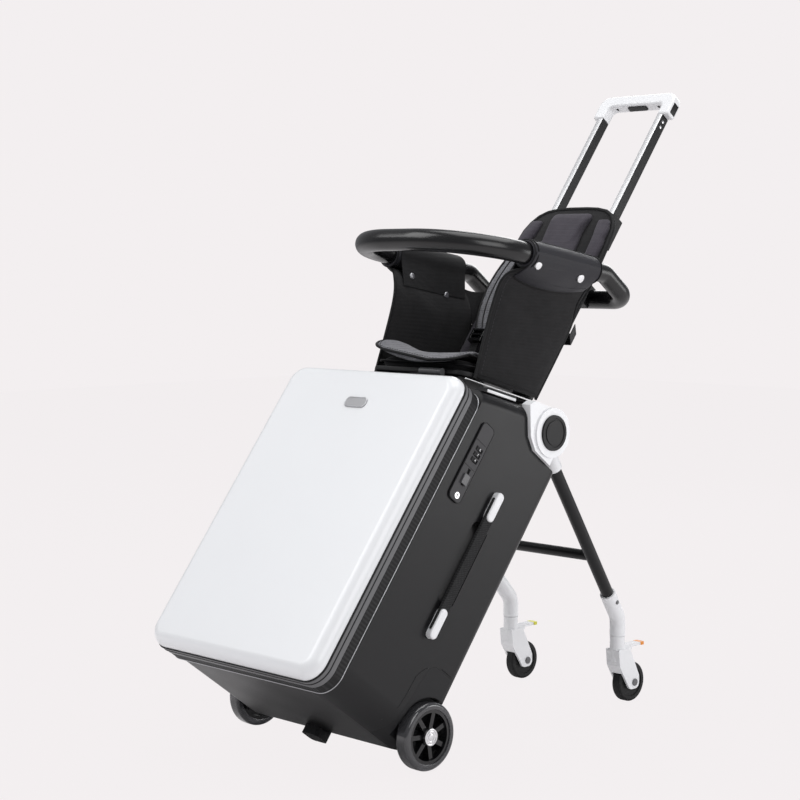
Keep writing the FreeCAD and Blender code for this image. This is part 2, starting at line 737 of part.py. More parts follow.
keep_case("hinge_brackets", both(hinge_bracket()))
keep_case_pair("hinge_button", hinge_button())
pin = rod_x(PIN_R, KNUCKLE_IN, BUTTON_IN - BUTTON_TRAVEL - 2 * FIT, HINGE_V, HINGE_W)
keep_case("hinge_pins", both(pin))


def saddle():
    plate = box(-EAR_IN, EAR_IN, NOTCH_V + NOTCH_ROUND, CASE_DEPTH - REAR_ROUND, NOTCH_W,
                NOTCH_W + SADDLE_THICK)
    slot = box(GROOVE_IN, EAR_IN + 1, NOTCH_V, CASE_DEPTH + 1, NOTCH_W - 1, NOTCH_W + 2 * SADDLE_THICK)
    hole = rod_block(LOWER_WIDTH, LOWER_DEPTH, NOTCH_W - 1, NOTCH_W + 2 * SADDLE_THICK)
    for part in (slot, hole):
        plate = plate.cut(part).cut(mirrored(part))
    return plate


keep_case("saddle", saddle())


# Rear legs, in floor axes

HINGE = vec(HINGE_X, HINGE_Y, HINGE_Z)
KNEE = vec(CASTER_X, STEM_Y, KNEE_Z)
LEG_WAY = (KNEE - HINGE).normalize()
LEG_LENGTH = (KNEE - HINGE).Length
TUBE_START = HINGE + LEG_WAY * SLEEVE_LENGTH
TUBE_END = KNEE - LEG_WAY * SOCKET_LENGTH


def leg_knuckle():
    disc = rod_x(KNUCKLE_R, KNUCKLE_IN, EAR_IN - FIT, HINGE_Y, HINGE_Z)
    sleeve = Part.makeCylinder(SLEEVE_R, SLEEVE_LENGTH, HINGE, LEG_WAY)
    body = disc.fuse(sleeve).removeSplitter()
    body = body.cut(box(EAR_IN - FIT, 2 * EAR_IN, HINGE_Y - 99, HINGE_Y + 99, HINGE_Z - 99, HINGE_Z + 99))
    return body.cut(rod_x(PIN_R + RUN, 0, 2 * EAR_IN, HINGE_Y, HINGE_Z))


def leg_socket():
    path = [TUBE_END, KNEE, vec(CASTER_X, STEM_Y, STEM_Z)]
    body = bent_tube(path, SOCKET_BEND, SLEEVE_R)
    return body.cut(rod_w(SWIVEL_R + RUN, CASTER_X, STEM_Y, STEM_Z - 1, STEM_Z + SWIVEL_LENGTH + FIT))


keep("leg_knuckles", both(leg_knuckle()))
keep("leg_tubes", both(Part.makeCylinder(LEG_R, (TUBE_END - TUBE_START).Length, TUBE_START, LEG_WAY)))
keep("leg_sockets", both(leg_socket()))
CROSS = HINGE + LEG_WAY * (SLEEVE_LENGTH + CROSSBAR_SHARE * (TUBE_END - TUBE_START).Length)
bar = rod_x(CROSSBAR_R, -CROSS.x, CROSS.x, CROSS.y, CROSS.z)
leg = Part.makeCylinder(LEG_R, LEG_LENGTH, HINGE, LEG_WAY)
keep("leg_crossbar", bar.cut(leg).cut(mirrored(leg)).Solids[0])


# Casters

CASTER_Y = STEM_Y + CASTER_TRAIL
FORK_IN = CASTER_WIDTH / 2 + FORK_GAP
FORK_OUT = FORK_IN + FORK_WALL


def caster_fork():
    top = STEM_Z - FIT
    points = [
        (STEM_Y - STEM_R, FORK_NECK_Z + 20),
        (STEM_Y - STEM_R + 3, FORK_NECK_Z - 8),
        (CASTER_Y - 12, CASTER_R - 11),
        (CASTER_Y + 12, CASTER_R - 11),
        (CASTER_Y + 12, CASTER_R + 10),
        (STEM_Y + STEM_R + 4, FORK_NECK_Z + 20),
    ]
    swoosh = side_outline(points, [2, 12, 10, 10, 10, 6], CASTER_X - FORK_OUT)
    fork = swoosh.extrude(vec(2 * FORK_OUT, 0, 0))
    fork = fork.fuse(rod_w(STEM_R, CASTER_X, STEM_Y, FORK_NECK_Z, top))
    fork = fork.fuse(rod_w(SWIVEL_R, CASTER_X, STEM_Y, FORK_NECK_Z, STEM_Z + SWIVEL_LENGTH))
    lug_out = PEDAL_WIDTH / 2 + FIT + LUG_WALL
    lugs = box(CASTER_X - lug_out, CASTER_X + lug_out, STEM_Y, PEDAL_Y + 5, PEDAL_Z - 6, PEDAL_Z + 5)
    fork = fork.fuse(lugs).removeSplitter()
    slot = box(CASTER_X - PEDAL_WIDTH / 2 - FIT, CASTER_X + PEDAL_WIDTH / 2 + FIT,
               STEM_Y + STEM_R, CASTER_Y + 99, PEDAL_Z - 15, PEDAL_Z + 15)
    wheel = rod_x(CASTER_R + FORK_GAP, CASTER_X - FORK_IN, CASTER_X + FORK_IN, CASTER_Y, CASTER_R)
    fork = fork.cut(slot).cut(wheel)
    fork = fork.cut(rod_x(PEDAL_PIN + RUN, CASTER_X - 99, CASTER_X + 99, PEDAL_Y, PEDAL_Z))
    return fork.cut(rod_x(BOLT_R, CASTER_X - 99, CASTER_X + 99, CASTER_Y, CASTER_R))


def caster_wheel():
    half = CASTER_WIDTH / 2
    wheel = rod_x(CASTER_R, CASTER_X - half, CASTER_X + half, CASTER_Y, CASTER_R)
    wheel = wheel.makeFillet(4, [e for e in wheel.Edges if e.Curve.TypeId == "Part::GeomCircle"])
    dish = rod_x(CASTER_R - 9, 0, 2, CASTER_Y, CASTER_R).cut(rod_x(9, 0, 2, CASTER_Y, CASTER_R))
    for x in (CASTER_X - half - 0.5, CASTER_X + half - 1.5):
        ring = dish.copy()
        ring.translate(vec(x, 0, 0))
        wheel = wheel.cut(ring)
    return wheel.cut(rod_x(BOLT_R + RUN, 0, 2 * CASTER_X, CASTER_Y, CASTER_R))


def caster_bolt():
    head = FORK_OUT + 2.0
    bolt = rod_x(BOLT_R, CASTER_X - head, CASTER_X + head, CASTER_Y, CASTER_R)
    for x in (CASTER_X - head, CASTER_X + FORK_OUT):
        bolt = bolt.fuse(rod_x(BOLT_HEAD_R, x, x + 2.0, CASTER_Y, CASTER_R))
    return bolt.removeSplitter()


def brake_pedal():
    half = PEDAL_WIDTH / 2
    y0 = STEM_Y + STEM_R + FIT
    arm = box(CASTER_X - half, CASTER_X + half, y0 + 2, PEDAL_Y + PEDAL_LENGTH, PEDAL_Z - 3,
              PEDAL_Z + PEDAL_THICK - 3)
    tip = plan_outline(CASTER_X - half - 2, CASTER_X + half + 2, PEDAL_Y + PEDAL_LENGTH - 1,
                       PEDAL_Y + PEDAL_LENGTH + TIP_LENGTH, 4, PEDAL_Z - 3)
    arm = arm.fuse(tip.extrude(vec(0, 0, PEDAL_THICK)))
    pin = rod_x(PEDAL_PIN, CASTER_X - half - LUG_WALL, CASTER_X + half + LUG_WALL, PEDAL_Y, PEDAL_Z)
    return arm.fuse(pin).removeSplitter()


keep_pair("caster_fork", caster_fork())
keep_pair("caster_wheel", caster_wheel())
keep_pair("caster_bolt", caster_bolt())
keep_pair("brake_pedal", brake_pedal())


# Lid hinges on the left side


def case_leaf(w):
    leaf = rod_w(BARREL_PIN, HINGE_LINE_X, HINGE_LINE_V, w, w + 3 * BARREL)
    for start in (w, w + 2 * BARREL):
        leaf = leaf.fuse(rod_w(BARREL_R, HINGE_LINE_X, HINGE_LINE_V, start, start + BARREL))
        tab = box(HINGE_LINE_X, -HALF, HINGE_LINE_V, SHELL_FRONT + LEAF_REACH, start, start + BARREL)
        leaf = leaf.fuse(tab)
    return leaf.removeSplitter()


def lid_leaf(w):
    low = w + BARREL + FIT
    high = w + 2 * BARREL - FIT
    leaf = rod_w(BARREL_R, HINGE_LINE_X, HINGE_LINE_V, low, high)
    leaf = leaf.fuse(box(HINGE_LINE_X, -LID_WIDTH / 2 - 1, LID_DEPTH + 1, HINGE_LINE_V - FIT / 2, low, high))
    return leaf.removeSplitter().cut(rod_w(BARREL_PIN + RUN, HINGE_LINE_X, HINGE_LINE_V, w, w + 3 * BARREL))


keep_case("case_hinge_leaves", Part.makeCompound([case_leaf(w) for w in LID_HINGES]))
keep_case("lid_hinge_leaves", Part.makeCompound([lid_leaf(w) for w in LID_HINGES]))


# Lock


def lock_plate():
    points = [(LOCK_V, LOCK_BOTTOM), (LOCK_V + LOCK_WIDTH, LOCK_BOTTOM),
              (LOCK_V + LOCK_WIDTH, LOCK_TOP), (LOCK_V, LOCK_TOP)]
    plate = side_outline(points, [LOCK_CORNER] * 4, HALF).extrude(vec(LOCK_THICK, 0, 0))
    plate = plate.fuse(lock_well(HALF + LOCK_THICK)).removeSplitter()
    for i in range(DIAL_COUNT):
        w = dial_w(i)
        plate = plate.cut(box(DIAL_X - DIAL_R - FIT, 2 * HALF, DIAL_V - DIAL_R - FIT, DIAL_V + DIAL_R + FIT,
                              w - DIAL_THICK / 2 - FIT, w + DIAL_THICK / 2 + FIT))
    plate = plate.fuse(rod_w(SPINDLE_R, DIAL_X, DIAL_V, DIAL_W - DIAL_SPAN / 2, DIAL_W + DIAL_SPAN / 2))
    plate = plate.cut(rod_x(KEY_R + RUN, HALF - 1, 2 * HALF, DIAL_V, KEY_W))
    half = LATCH_STEM / 2
    reach = LATCH_STEM_LENGTH / 2 + LATCH_END_GAP
    slot = box(HALF - 1, 2 * HALF, DIAL_V - half, DIAL_V + half, LATCH_W - reach,
               LATCH_W + LATCH_TRAVEL + reach)
    return plate.cut(slot).removeSplitter()


def dial_w(i):
    return DIAL_W + (i - (DIAL_COUNT - 1) / 2) * DIAL_PITCH


keep_case("lock_plate", lock_plate())
for i in range(DIAL_COUNT):
    dial = rod_w(DIAL_R, DIAL_X, DIAL_V, dial_w(i) - DIAL_THICK / 2, dial_w(i) + DIAL_THICK / 2)
    dial = dial.cut(rod_w(SPINDLE_R + RUN, DIAL_X, DIAL_V, DIAL_W - DIAL_SPAN, DIAL_W + DIAL_SPAN))
    keep_case("lock_dial_" + str(i + 1), dial)
latch_half = LATCH_WIDTH / 2
latch_end = LATCH_LENGTH / 2
stem_half = LATCH_STEM / 2 - FIT
stem_end = LATCH_STEM_LENGTH / 2
latch = box(HALF + LOCK_THICK + FIT, HALF + LOCK_THICK + LATCH_PROUD,
            DIAL_V - latch_half, DIAL_V + latch_half, LATCH_W - latch_end, LATCH_W + latch_end)
stem = box(HALF + FIT, HALF + LOCK_THICK + FIT, DIAL_V - stem_half, DIAL_V + stem_half,
           LATCH_W - stem_end, LATCH_W + stem_end)
keep_case("lock_latch", latch.fuse(stem).removeSplitter())
key = rod_x(KEY_R, HALF - 2 * CASE_WALL + FIT, HALF + LOCK_THICK + 1, DIAL_V, KEY_W)
keep_case("key_cylinder", key.cut(box(HALF, 2 * HALF, DIAL_V - KEY_SLOT / 2, DIAL_V + KEY_SLOT / 2,
                                    KEY_W - KEY_SLOT_HALF, KEY_W + KEY_SLOT_HALF)))


# Carry handle on the right side


def carry_cap(w0):
    points = [(CARRY_V - CARRY_WIDTH / 2, w0), (CARRY_V + CARRY_WIDTH / 2, w0),
              (CARRY_V + CARRY_WIDTH / 2, w0 + CARRY_CAP), (CARRY_V - CARRY_WIDTH / 2, w0 + CARRY_CAP)]
    cap = side_outline(points, [CARRY_WIDTH / 2 - 0.5] * 4, HALF).extrude(vec(CARRY_PROUD, 0, 0))
    return cap.makeFillet(3, [e for e in cap.Edges if e.BoundBox.XMin > HALF + CARRY_PROUD - 0.01])


caps = [carry_cap(CARRY_BOTTOM), carry_cap(CARRY_TOP - CARRY_CAP)]
keep_case("carry_caps", Part.makeCompound(caps))
strap = box(HALF + STRAP_STAND, HALF + STRAP_STAND + STRAP_PLY, CARRY_V - STRAP_HALF, CARRY_V + STRAP_HALF,
            CARRY_BOTTOM + STRAP_TUCK, CARRY_TOP - STRAP_TUCK)
strap = strap.cut(caps[0]).cut(caps[1])
keep_case("carry_strap", max(strap.Solids, key=lambda s: s.Volume))


# Trolley handle

keep_case("trolley_sleeves", both(rod_tube(OUTER_WIDTH, OUTER_DEPTH, LID_BOTTOM + CASE_WALL + HEEL_ROUND,
                                           NOTCH_W - CASE_WALL - REAR_ROUND)))
keep_case("lower_rods", both(rod_tube(LOWER_WIDTH, LOWER_DEPTH, LOWER_BOTTOM, LOWER_TOP)))
keep_case("upper_rods", both(rod_tube(ROD_WIDTH, ROD_DEPTH, LOWER_TOP - ROD_OVERLAP, ROD_TOP)))


def grip():
    outer = front_outline(GRIP_HALF, ROD_TOP, GRIP_TOP, 3, GRIP_CORNER, ROD_V - GRIP_DEPTH / 2)
    inner = front_outline(GRIP_HALF - GRIP_ARM, ROD_TOP - GRIP_CORNER, GRIP_TOP - GRIP_BAR, 0, 8,
                          ROD_V - GRIP_DEPTH / 2)
    body = outer.cut(inner).extrude(vec(0, GRIP_DEPTH, 0))
    faces = (ROD_V - GRIP_DEPTH / 2, ROD_V + GRIP_DEPTH / 2)
    edges = [e for e in body.Edges if e.BoundBox.YLength < 0.01 and e.BoundBox.ZMax > ROD_TOP + 1
             and min(abs(e.BoundBox.YMin - f) for f in faces) < 0.01]
    body = body.makeFillet(GRIP_ROUND, edges)
    return body.cut(button_block(FIT, BUTTON_TRAVEL + 2))


def button_block(gap, above):
    half = GRIP_BUTTON / 2 + gap
    depth = GRIP_BUTTON_DEPTH / 2 + gap
    low = GRIP_TOP - GRIP_BAR - GRIP_BUTTON_PROUD
    plan = plan_outline(-half, half, ROD_V - depth, ROD_V + depth, 3, low)
    return plan.extrude(vec(0, 0, GRIP_BUTTON_PROUD + GRIP_BUTTON_ROOT + above))


keep_case("grip", grip())
keep_case("grip_button", button_block(0, 0))


# Bumper bar, rear loop and their sleeves

bar_path = [vec(BAR_X, 0, 0), vec(BAR_X, BAR_LENGTH, 0), vec(-BAR_X, BAR_LENGTH, 0), vec(-BAR_X, 0, 0)]
keep_case("bumper_bar", on_bar(bent_tube(bar_path, BAR_CORNER, BAR_R)))
lead = bar_point(BAR_X, -LOOP_LEAD)
half_loop = [bar_point(BAR_X, -FIT), lead, vec(BAR_X, LOOP_V, lead.z)]
loop_path = half_loop + [vec(-p.x, p.y, p.z) for p in reversed(half_loop)]
LOOP = bent_tube(loop_path, LOOP_BEND, LOOP_R)
keep_case("rear_loop", LOOP)
ring = Part.makeCylinder(SLEEVE_OUT, SLEEVE_END - SLEEVE_START, vec(BAR_X, SLEEVE_START, 0), vec(0, 1, 0))
hole = Part.makeCylinder(BAR_R + FIT, SLEEVE_END, vec(BAR_X, 0, 0), vec(0, 1, 0))
keep_case("bar_sleeves", on_bar(both(ring.cut(hole))))


def rod_clip():
    x0 = ROD_X - LOWER_WIDTH / 2 - CLIP_WALL
    x1 = ROD_X + LOWER_WIDTH / 2 + CLIP_WALL
    v0 = ROD_V - LOWER_DEPTH / 2 + FIT
    v1 = ROD_V + LOWER_DEPTH / 2 + CLIP_WALL
    clip = box(x0, x1, v0, v1, LOWER_TOP - CLIP_DEPTH, LOWER_TOP + COLLAR)
    clip = clip.cut(rod_block(LOWER_WIDTH, LOWER_DEPTH, 0, LOWER_TOP))
    clip = clip.cut(rod_block(ROD_WIDTH + 2 * FIT, ROD_DEPTH + 2 * FIT, 0, 2 * LOWER_TOP))
    clamp = box(x0, x1, ROD_V + LOWER_DEPTH / 2, LOOP_V, lead.z - LOOP_R - CLIP_WALL,
                lead.z + LOOP_R + CLIP_WALL)
    clamp = clamp.cut(rod_x(LOOP_R + FIT, 0, 2 * HALF, LOOP_V, lead.z))
    return Part.makeCompound([clip, clamp])


keep_case("rod_clips", both(rod_clip()))


# Seat


def pad_section(place, half, thick, crown, drawn):
    # Flat underside, drawn-in sides and a crowned top, as four edges.
    low_left = place(-half, 0)
    low_right = place(half, 0)
    high_right = place(half, thick)
    high_left = place(-half, thick)
    edges = [
        Part.makeLine(low_left, low_right),
        Part.Arc(low_right, place(half - drawn, thick / 2), high_right).toShape(),
        Part.Arc(high_right, place(0, thick + crown), high_left).toShape(),
        Part.Arc(high_left, place(-half + drawn, thick / 2), low_left).toShape(),
    ]
    return Part.Wire(edges)


def seat_cushion():
    length = CUSHION_REAR - CUSHION_FRONT
    base = PAN_TOP + FIT
    sections = []
    for share, width, height in CUSHION_SECTIONS:
        s = CUSHION_FRONT + share * length

        def place(x, h):
            return vec(x, s, base + h)

        crown = CUSHION_THICK * CUSHION_CROWN
        sections.append(pad_section(place, CUSHION_HALF * width, CUSHION_THICK * height, crown, PAD_DRAWN))
    return on_slope(Part.makeLoft(sections, True, False))


def backrest():
    sections = []
    for share, width, thick in BACK_SECTIONS:
        w = BACK_BOTTOM + share * BACK_HEIGHT

        def place(x, depth):
            return vec(x, BACK_REAR - depth, w)

        crown = BACK_THICK * BACK_CROWN
        sections.append(pad_section(place, BACK_HALF * width, BACK_THICK * thick, crown, PAD_DRAWN))
    return Part.makeLoft(sections, True, False)


pan = plan_outline(-PAN_HALF, PAN_HALF, PAN_FRONT, PAN_REAR, PAN_CORNER, PAN_LIFT)
keep_case("seat_pan", on_slope(pan.extrude(vec(0, 0, PAN_THICK))))
bracket_rear = BRACKET_FRONT + BRACKET_LENGTH
bracket_points = [vec(BRACKET_IN, BRACKET_FRONT, 0), vec(BRACKET_IN, bracket_rear, 0),
                  vec(BRACKET_IN, bracket_rear, PAN_LIFT),
                  vec(BRACKET_IN, BRACKET_FRONT + BRACKET_RAKE, PAN_LIFT)]
bracket = rounded(bracket_points, [0, 0, 0, 0]).extrude(vec(BRACKET_WIDTH, 0, 0))
keep_case("seat_brackets", on_slope(both(bracket)))
rail_rear = RAIL_FRONT + RAIL_LENGTH
rail_points = [vec(RAIL_IN, RAIL_FRONT, 0), vec(RAIL_IN, rail_rear, 0), vec(RAIL_IN, rail_rear, RAIL_HEIGHT),
               vec(RAIL_IN, RAIL_FRONT + RAIL_RAKE, RAIL_HEIGHT)]
rail = rounded(rail_points, [0, 0, RAIL_HEIGHT / 3, RAIL_HEIGHT]).extrude(vec(RAIL_WIDTH, 0, 0))
keep_case("seat_rails", on_slope(both(rail)))
CUSHION = seat_cushion()
BACKREST = backrest()
keep_case("seat_cushion", CUSHION)
keep_case("backrest", BACKREST)

mat_half = CUSHION_HALF - MAT_SIDE
mat_front = CUSHION_FRONT - MAT_OVER
mat_rear = mat_front + MAT_LENGTH
mat_low = PAN_TOP + FIT + CUSHION_THICK - MAT_THICK
mat_points = [vec(-mat_half, mat_front, mat_low), vec(mat_half, mat_front, mat_low),
              vec(mat_half, mat_rear, mat_low), vec(-mat_half, mat_rear, mat_low)]
mat = rounded(mat_points, [MAT_FRONT_CORNER] * 2 + [MAT_REAR_CORNER] * 2)
mat = on_slope(mat.extrude(vec(0, 0, 2 * MAT_THICK)))
keep_case("seat_mat", mat.cut(CUSHION))


def under_bar(s, gap):
    axis = bar_point(0, s)
    drop = SLEEVE_OUT + gap
    return axis.y + drop * math.sin(BAR_SLOPE), axis.z - drop * math.cos(BAR_SLOPE)


def panel_w(v):
    return slope_w(v) + PAN_LIFT / math.cos(SLOPE)


def panel_section(front, rear, front_x, rear_x):
    # A thin strip from front to rear, bowed outwards, flat across x.
    middle = ((front[0] + rear[0]) / 2, (front[1] + rear[1]) / 2)
    middle_x = (front_x + rear_x) / 2 + PANEL_BOW
    inner = [vec(front_x, *front), vec(middle_x, *middle), vec(rear_x, *rear)]
    outer = [vec(p.x + PANEL_THICK, p.y, p.z) for p in inner]
    edges = [Part.Arc(*inner).toShape(), Part.makeLine(inner[2], outer[2]),
             Part.Arc(*reversed(outer)).toShape(), Part.makeLine(outer[0], inner[0])]
    return Part.Wire(edges)


def side_panel():
    # From the pan's side up to the waist, then flaring out to hang from the bar's sleeve.
    waist_w = LID_TOP + PANEL_WAIST_LIFT
    flare_w = LID_TOP + PANEL_FLARE_LIFT
    top_x = BAR_X - PANEL_THICK / 2
    rear_top = under_bar(SLEEVE_START, FIT)
    sections = [
        panel_section((PANEL_FOOT_V, panel_w(PANEL_FOOT_V)), (PANEL_REAR, panel_w(PANEL_REAR)),
                      PANEL_X, PANEL_X),
        panel_section((PANEL_WAIST_V, waist_w), (PANEL_REAR, waist_w + PANEL_RISE), PANEL_X, PANEL_X),
        panel_section((PANEL_FLARE_V, flare_w), ((PANEL_REAR + rear_top[0]) / 2, flare_w + PANEL_RISE),
                      PANEL_X + PANEL_FLARE_OUT, PANEL_X + PANEL_FLARE_OUT),
        panel_section(under_bar(SLEEVE_END + PANEL_LEAD, FIT), rear_top, top_x, top_x),
    ]
    return Part.makeLoft(sections, True, False)


keep_case("side_panels", both(side_panel()))

BAND_FRONT = BACK_FRONT - BAND_THICK
BAND_REAR = BACK_REAR - BACK_THICK / 2
BAND_END_W = LID_TOP + BAND_END_LIFT


def harness_band():
    # A mesh strap pad laid on the front of the backrest, bowed towards its side.
    top_w = LID_TOP + BAND_TOP_LIFT
    middle_w = (top_w + BAND_END_W) / 2
    inner = [vec(BAND_TOP_X, BAND_REAR, top_w), vec(BAND_BOW_X, BAND_REAR, middle_w),
             vec(BAND_END_X, BAND_REAR, BAND_END_W)]
    outer = [vec(p.x + BAND_WIDTH, p.y, p.z) for p in inner]
    edges = [Part.Arc(*inner).toShape(), Part.makeLine(inner[2], outer[2]),
             Part.Arc(*reversed(outer)).toShape(), Part.makeLine(outer[0], inner[0])]
    band = Part.Face(Part.Wire(edges)).extrude(vec(0, BAND_FRONT - BAND_REAR, 0))
    return band.cut(BACKREST)


def harness_buckle():
    x0 = BAND_END_X
    x1 = BAND_END_X + BAND_WIDTH
    v0 = BACK_FRONT - BUCKLE_THICK
    body = box(x0 - BUCKLE_EDGE, x1 + BUCKLE_EDGE, v0, BAND_REAR, BAND_END_W - BUCKLE_HEIGHT, BAND_END_W)
    for w in (BAND_END_W - 2 * BUCKLE_PITCH, BAND_END_W - BUCKLE_PITCH):
        body = body.cut(box(x0 + BUCKLE_EDGE, x1 - BUCKLE_EDGE, v0 - 1, BAND_REAR + 1, w, w + BUCKLE_SLOT))
    return body.cut(BACKREST)


keep_case("harness_bands", both(harness_band()))
keep_case("harness_buckles", both(harness_buckle()))

strap_front = vec(PANEL_X + PANEL_THICK, PANEL_REAR + 2 * FIT, STRAP_W)
strap_rear = vec(BACK_HALF - STRAP_LAP, ROD_V + LOWER_DEPTH / 2 + FIT, STRAP_W)
strap_line = [strap_front, strap_rear]
strap_line += [vec(-p.x, p.y, p.z) for p in reversed(strap_line)]
strap_line += [vec(p.x, p.y + STRAP_THICK, p.z) for p in reversed(strap_line)]
strap_face = Part.Face(Part.makePolygon(strap_line + strap_line[:1]))
keep_case("back_strap", strap_face.extrude(vec(0, 0, STRAP_HEIGHT)))


# The whole part is centred front to back and stands on the floor.

whole = Part.makeCompound(list(pieces.values())).optimalBoundingBox(False, False)
ORIGIN_Y = (whole.YMin + whole.YMax) / 2
os.makedirs("parts", exist_ok=True)
for name, shape in pieces.items():
    placed = shape.copy()
    placed.translate(vec(0, -ORIGIN_Y, 0))
    placed.exportStep("parts/" + name + ".step")
    if not placed.isValid() or not placed.Solids:
        print("check", name, placed.isValid(), len(placed.Solids))
print("pieces", len(pieces), "size", round(whole.XLength, 1), round(whole.YLength, 1),
      round(whole.ZLength, 1))
print("lowest", round(whole.ZMin, 2), "origin shift", round(ORIGIN_Y, 3))
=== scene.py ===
import json
import math

import bpy
from mathutils import Matrix, Vector


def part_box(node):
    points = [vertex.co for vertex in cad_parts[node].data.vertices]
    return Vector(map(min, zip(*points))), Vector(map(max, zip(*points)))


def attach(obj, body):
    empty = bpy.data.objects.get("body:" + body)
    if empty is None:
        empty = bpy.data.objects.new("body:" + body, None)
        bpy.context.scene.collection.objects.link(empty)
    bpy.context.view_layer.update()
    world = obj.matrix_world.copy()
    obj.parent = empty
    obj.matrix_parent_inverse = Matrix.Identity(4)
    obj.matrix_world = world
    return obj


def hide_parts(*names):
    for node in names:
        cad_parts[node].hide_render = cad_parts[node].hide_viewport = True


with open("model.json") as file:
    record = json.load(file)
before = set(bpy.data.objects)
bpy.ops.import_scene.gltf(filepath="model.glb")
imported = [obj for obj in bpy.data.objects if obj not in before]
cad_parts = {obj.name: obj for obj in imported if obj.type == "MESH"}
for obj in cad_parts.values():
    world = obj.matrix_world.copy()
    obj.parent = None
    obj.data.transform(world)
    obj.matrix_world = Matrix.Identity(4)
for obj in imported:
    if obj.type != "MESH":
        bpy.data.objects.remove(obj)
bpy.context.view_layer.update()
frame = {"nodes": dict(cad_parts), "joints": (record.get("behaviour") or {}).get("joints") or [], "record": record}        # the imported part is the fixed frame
print("frame loaded:", len(frame["nodes"]), "nodes")

# the case's own axes: x right, v back from the lid front, w up along the case
joints = {j["name"]: j for j in frame["joints"]}
caseUp = -Vector(joints["handle_slide"]["axis"])
caseBack = Vector((0, caseUp.z, -caseUp.y))
axle = Vector((0, *joints["wheel_spin_right"]["pos_m"][1:]))
axleDepth = 0.2504
caseAxes = Matrix((Vector((1, 0, 0)), caseBack, caseUp)).transposed().to_4x4()
caseAxes.translation = axle - caseBack * axleDepth


bothSides = (("Right", 1), ("Left", -1))


# small helpers for working as by hand


def pick(obj):
    if bpy.context.object and bpy.context.object.mode != "OBJECT":
        bpy.ops.object.mode_set(mode="OBJECT")
    bpy.ops.object.select_all(action="DESELECT")
    obj.select_set(True)
    bpy.context.view_layer.objects.active = obj
    return obj


def editAll(obj):
    pick(obj)
    bpy.ops.object.mode_set(mode="EDIT")
    bpy.ops.mesh.select_all(action="SELECT")


def backToObject():
    bpy.ops.object.mode_set(mode="OBJECT")


def named(name):
    obj = bpy.context.object
    obj.name = name
    obj.data.name = name
    return obj


def applyMod(obj, kind, **settings):
    pick(obj)
    mod = obj.modifiers.new(kind.title(), kind)
    for key, value in settings.items():
        setattr(mod, key, value)
    bpy.ops.object.modifier_apply(modifier=mod.name)
    return obj


def easeEdges(obj, width, segments, angle):
    return applyMod(obj, "BEVEL", width=width, segments=segments, limit_method="ANGLE",
                    angle_limit=math.radians(angle))


def settle(obj, matrix):
    pick(obj)
    obj.matrix_world = matrix @ obj.matrix_world
    bpy.ops.object.transform_apply(location=True, rotation=True, scale=True)
    return obj


def outward(obj):
    editAll(obj)
    bpy.ops.mesh.remove_doubles(threshold=0.00002)
    bpy.ops.mesh.normals_make_consistent(inside=False)
    backToObject()
    return obj


def smooth(obj, angle):
    pick(obj)
    bpy.ops.object.shade_smooth_by_angle(angle=math.radians(angle))
    return obj


def finishPiece(obj, body, finish, slot, *nodes):
    obj.data.materials.clear()
    obj.data.materials.append(finishes[finish])
    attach(obj, body)
    if nodes:
        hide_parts(*nodes)
    return obj


def joinAll(parts, name):
    pick(parts[0])
    for extra in parts[1:]:
        extra.select_set(True)
    if len(parts) > 1:
        bpy.ops.object.join()
    return named(name)


# materials: every one has grain, weave or wear of its own

finishes = {}
leanTurn = (math.atan2(caseUp.y, caseUp.z), 0, 0)


def startMaterial(name, color, rough, metal=0.0, coat=0.0, sheen=0.0, mirror=0.5):
    mat = bpy.data.materials.new(name)
    mat.use_nodes = True
    shader = mat.node_tree.nodes["Principled BSDF"]
    looks = {"Base Color": (*color, 1), "Roughness": rough, "Metallic": metal, "Coat Weight": coat,
             "Sheen Weight": sheen, "Specular IOR Level": mirror}
    for socket, value in looks.items():
        shader.inputs[socket].default_value = value
    finishes[name] = mat
    return mat, shader


def newNode(mat, kind, **settings):
    node = mat.node_tree.nodes.new(kind)
    for key, value in settings.items():
        if key in node.inputs:
            node.inputs[key].default_value = value
        else:
            setattr(node, key, value)
    return node


def link(mat, source, target):
    mat.node_tree.links.new(source, target)


def mathNode(mat, operation, *values):
    # each value is a number or another node's output
    node = newNode(mat, "ShaderNodeMath", operation=operation)
    for socket, value in zip(node.inputs, values):
        if isinstance(value, float):
            socket.default_value = value
        else:
            link(mat, value, socket)
    return node.outputs[0]


def noise(mat, where, scale, detail):
    node = newNode(mat, "ShaderNodeTexNoise", Scale=scale, Detail=detail)
    link(mat, where, node.inputs["Vector"])
    return node.outputs["Fac"]


def wave(mat, where, pitch, wobble, axis):
    scale = 0.5 / pitch / math.pi
    node = newNode(mat, "ShaderNodeTexWave", Scale=scale, Distortion=wobble, bands_direction=axis)
    link(mat, where, node.inputs["Vector"])
    return node.outputs["Fac"]


def coords(mat, turn=(0, 0, 0), scale=(1, 1, 1)):
    place = newNode(mat, "ShaderNodeTexCoord")
    mapping = newNode(mat, "ShaderNodeMapping", Rotation=turn, Scale=scale)
    link(mat, place.outputs["Object"], mapping.inputs["Vector"])
    return mapping.outputs["Vector"]


def tint(mat, shader, factor, low, high):
    ramp = newNode(mat, "ShaderNodeValToRGB")
    ramp.color_ramp.elements[0].color = (*low, 1)
    ramp.color_ramp.elements[1].color = (*high, 1)
    link(mat, factor, ramp.inputs["Fac"])
    link(mat, ramp.outputs["Color"], shader.inputs["Base Color"])


def bump(mat, shader, height, strength, distance):
    node = newNode(mat, "ShaderNodeBump", Strength=strength, Distance=distance)
    link(mat, height, node.inputs["Height"])
    link(mat, node.outputs["Normal"], shader.inputs["Normal"])


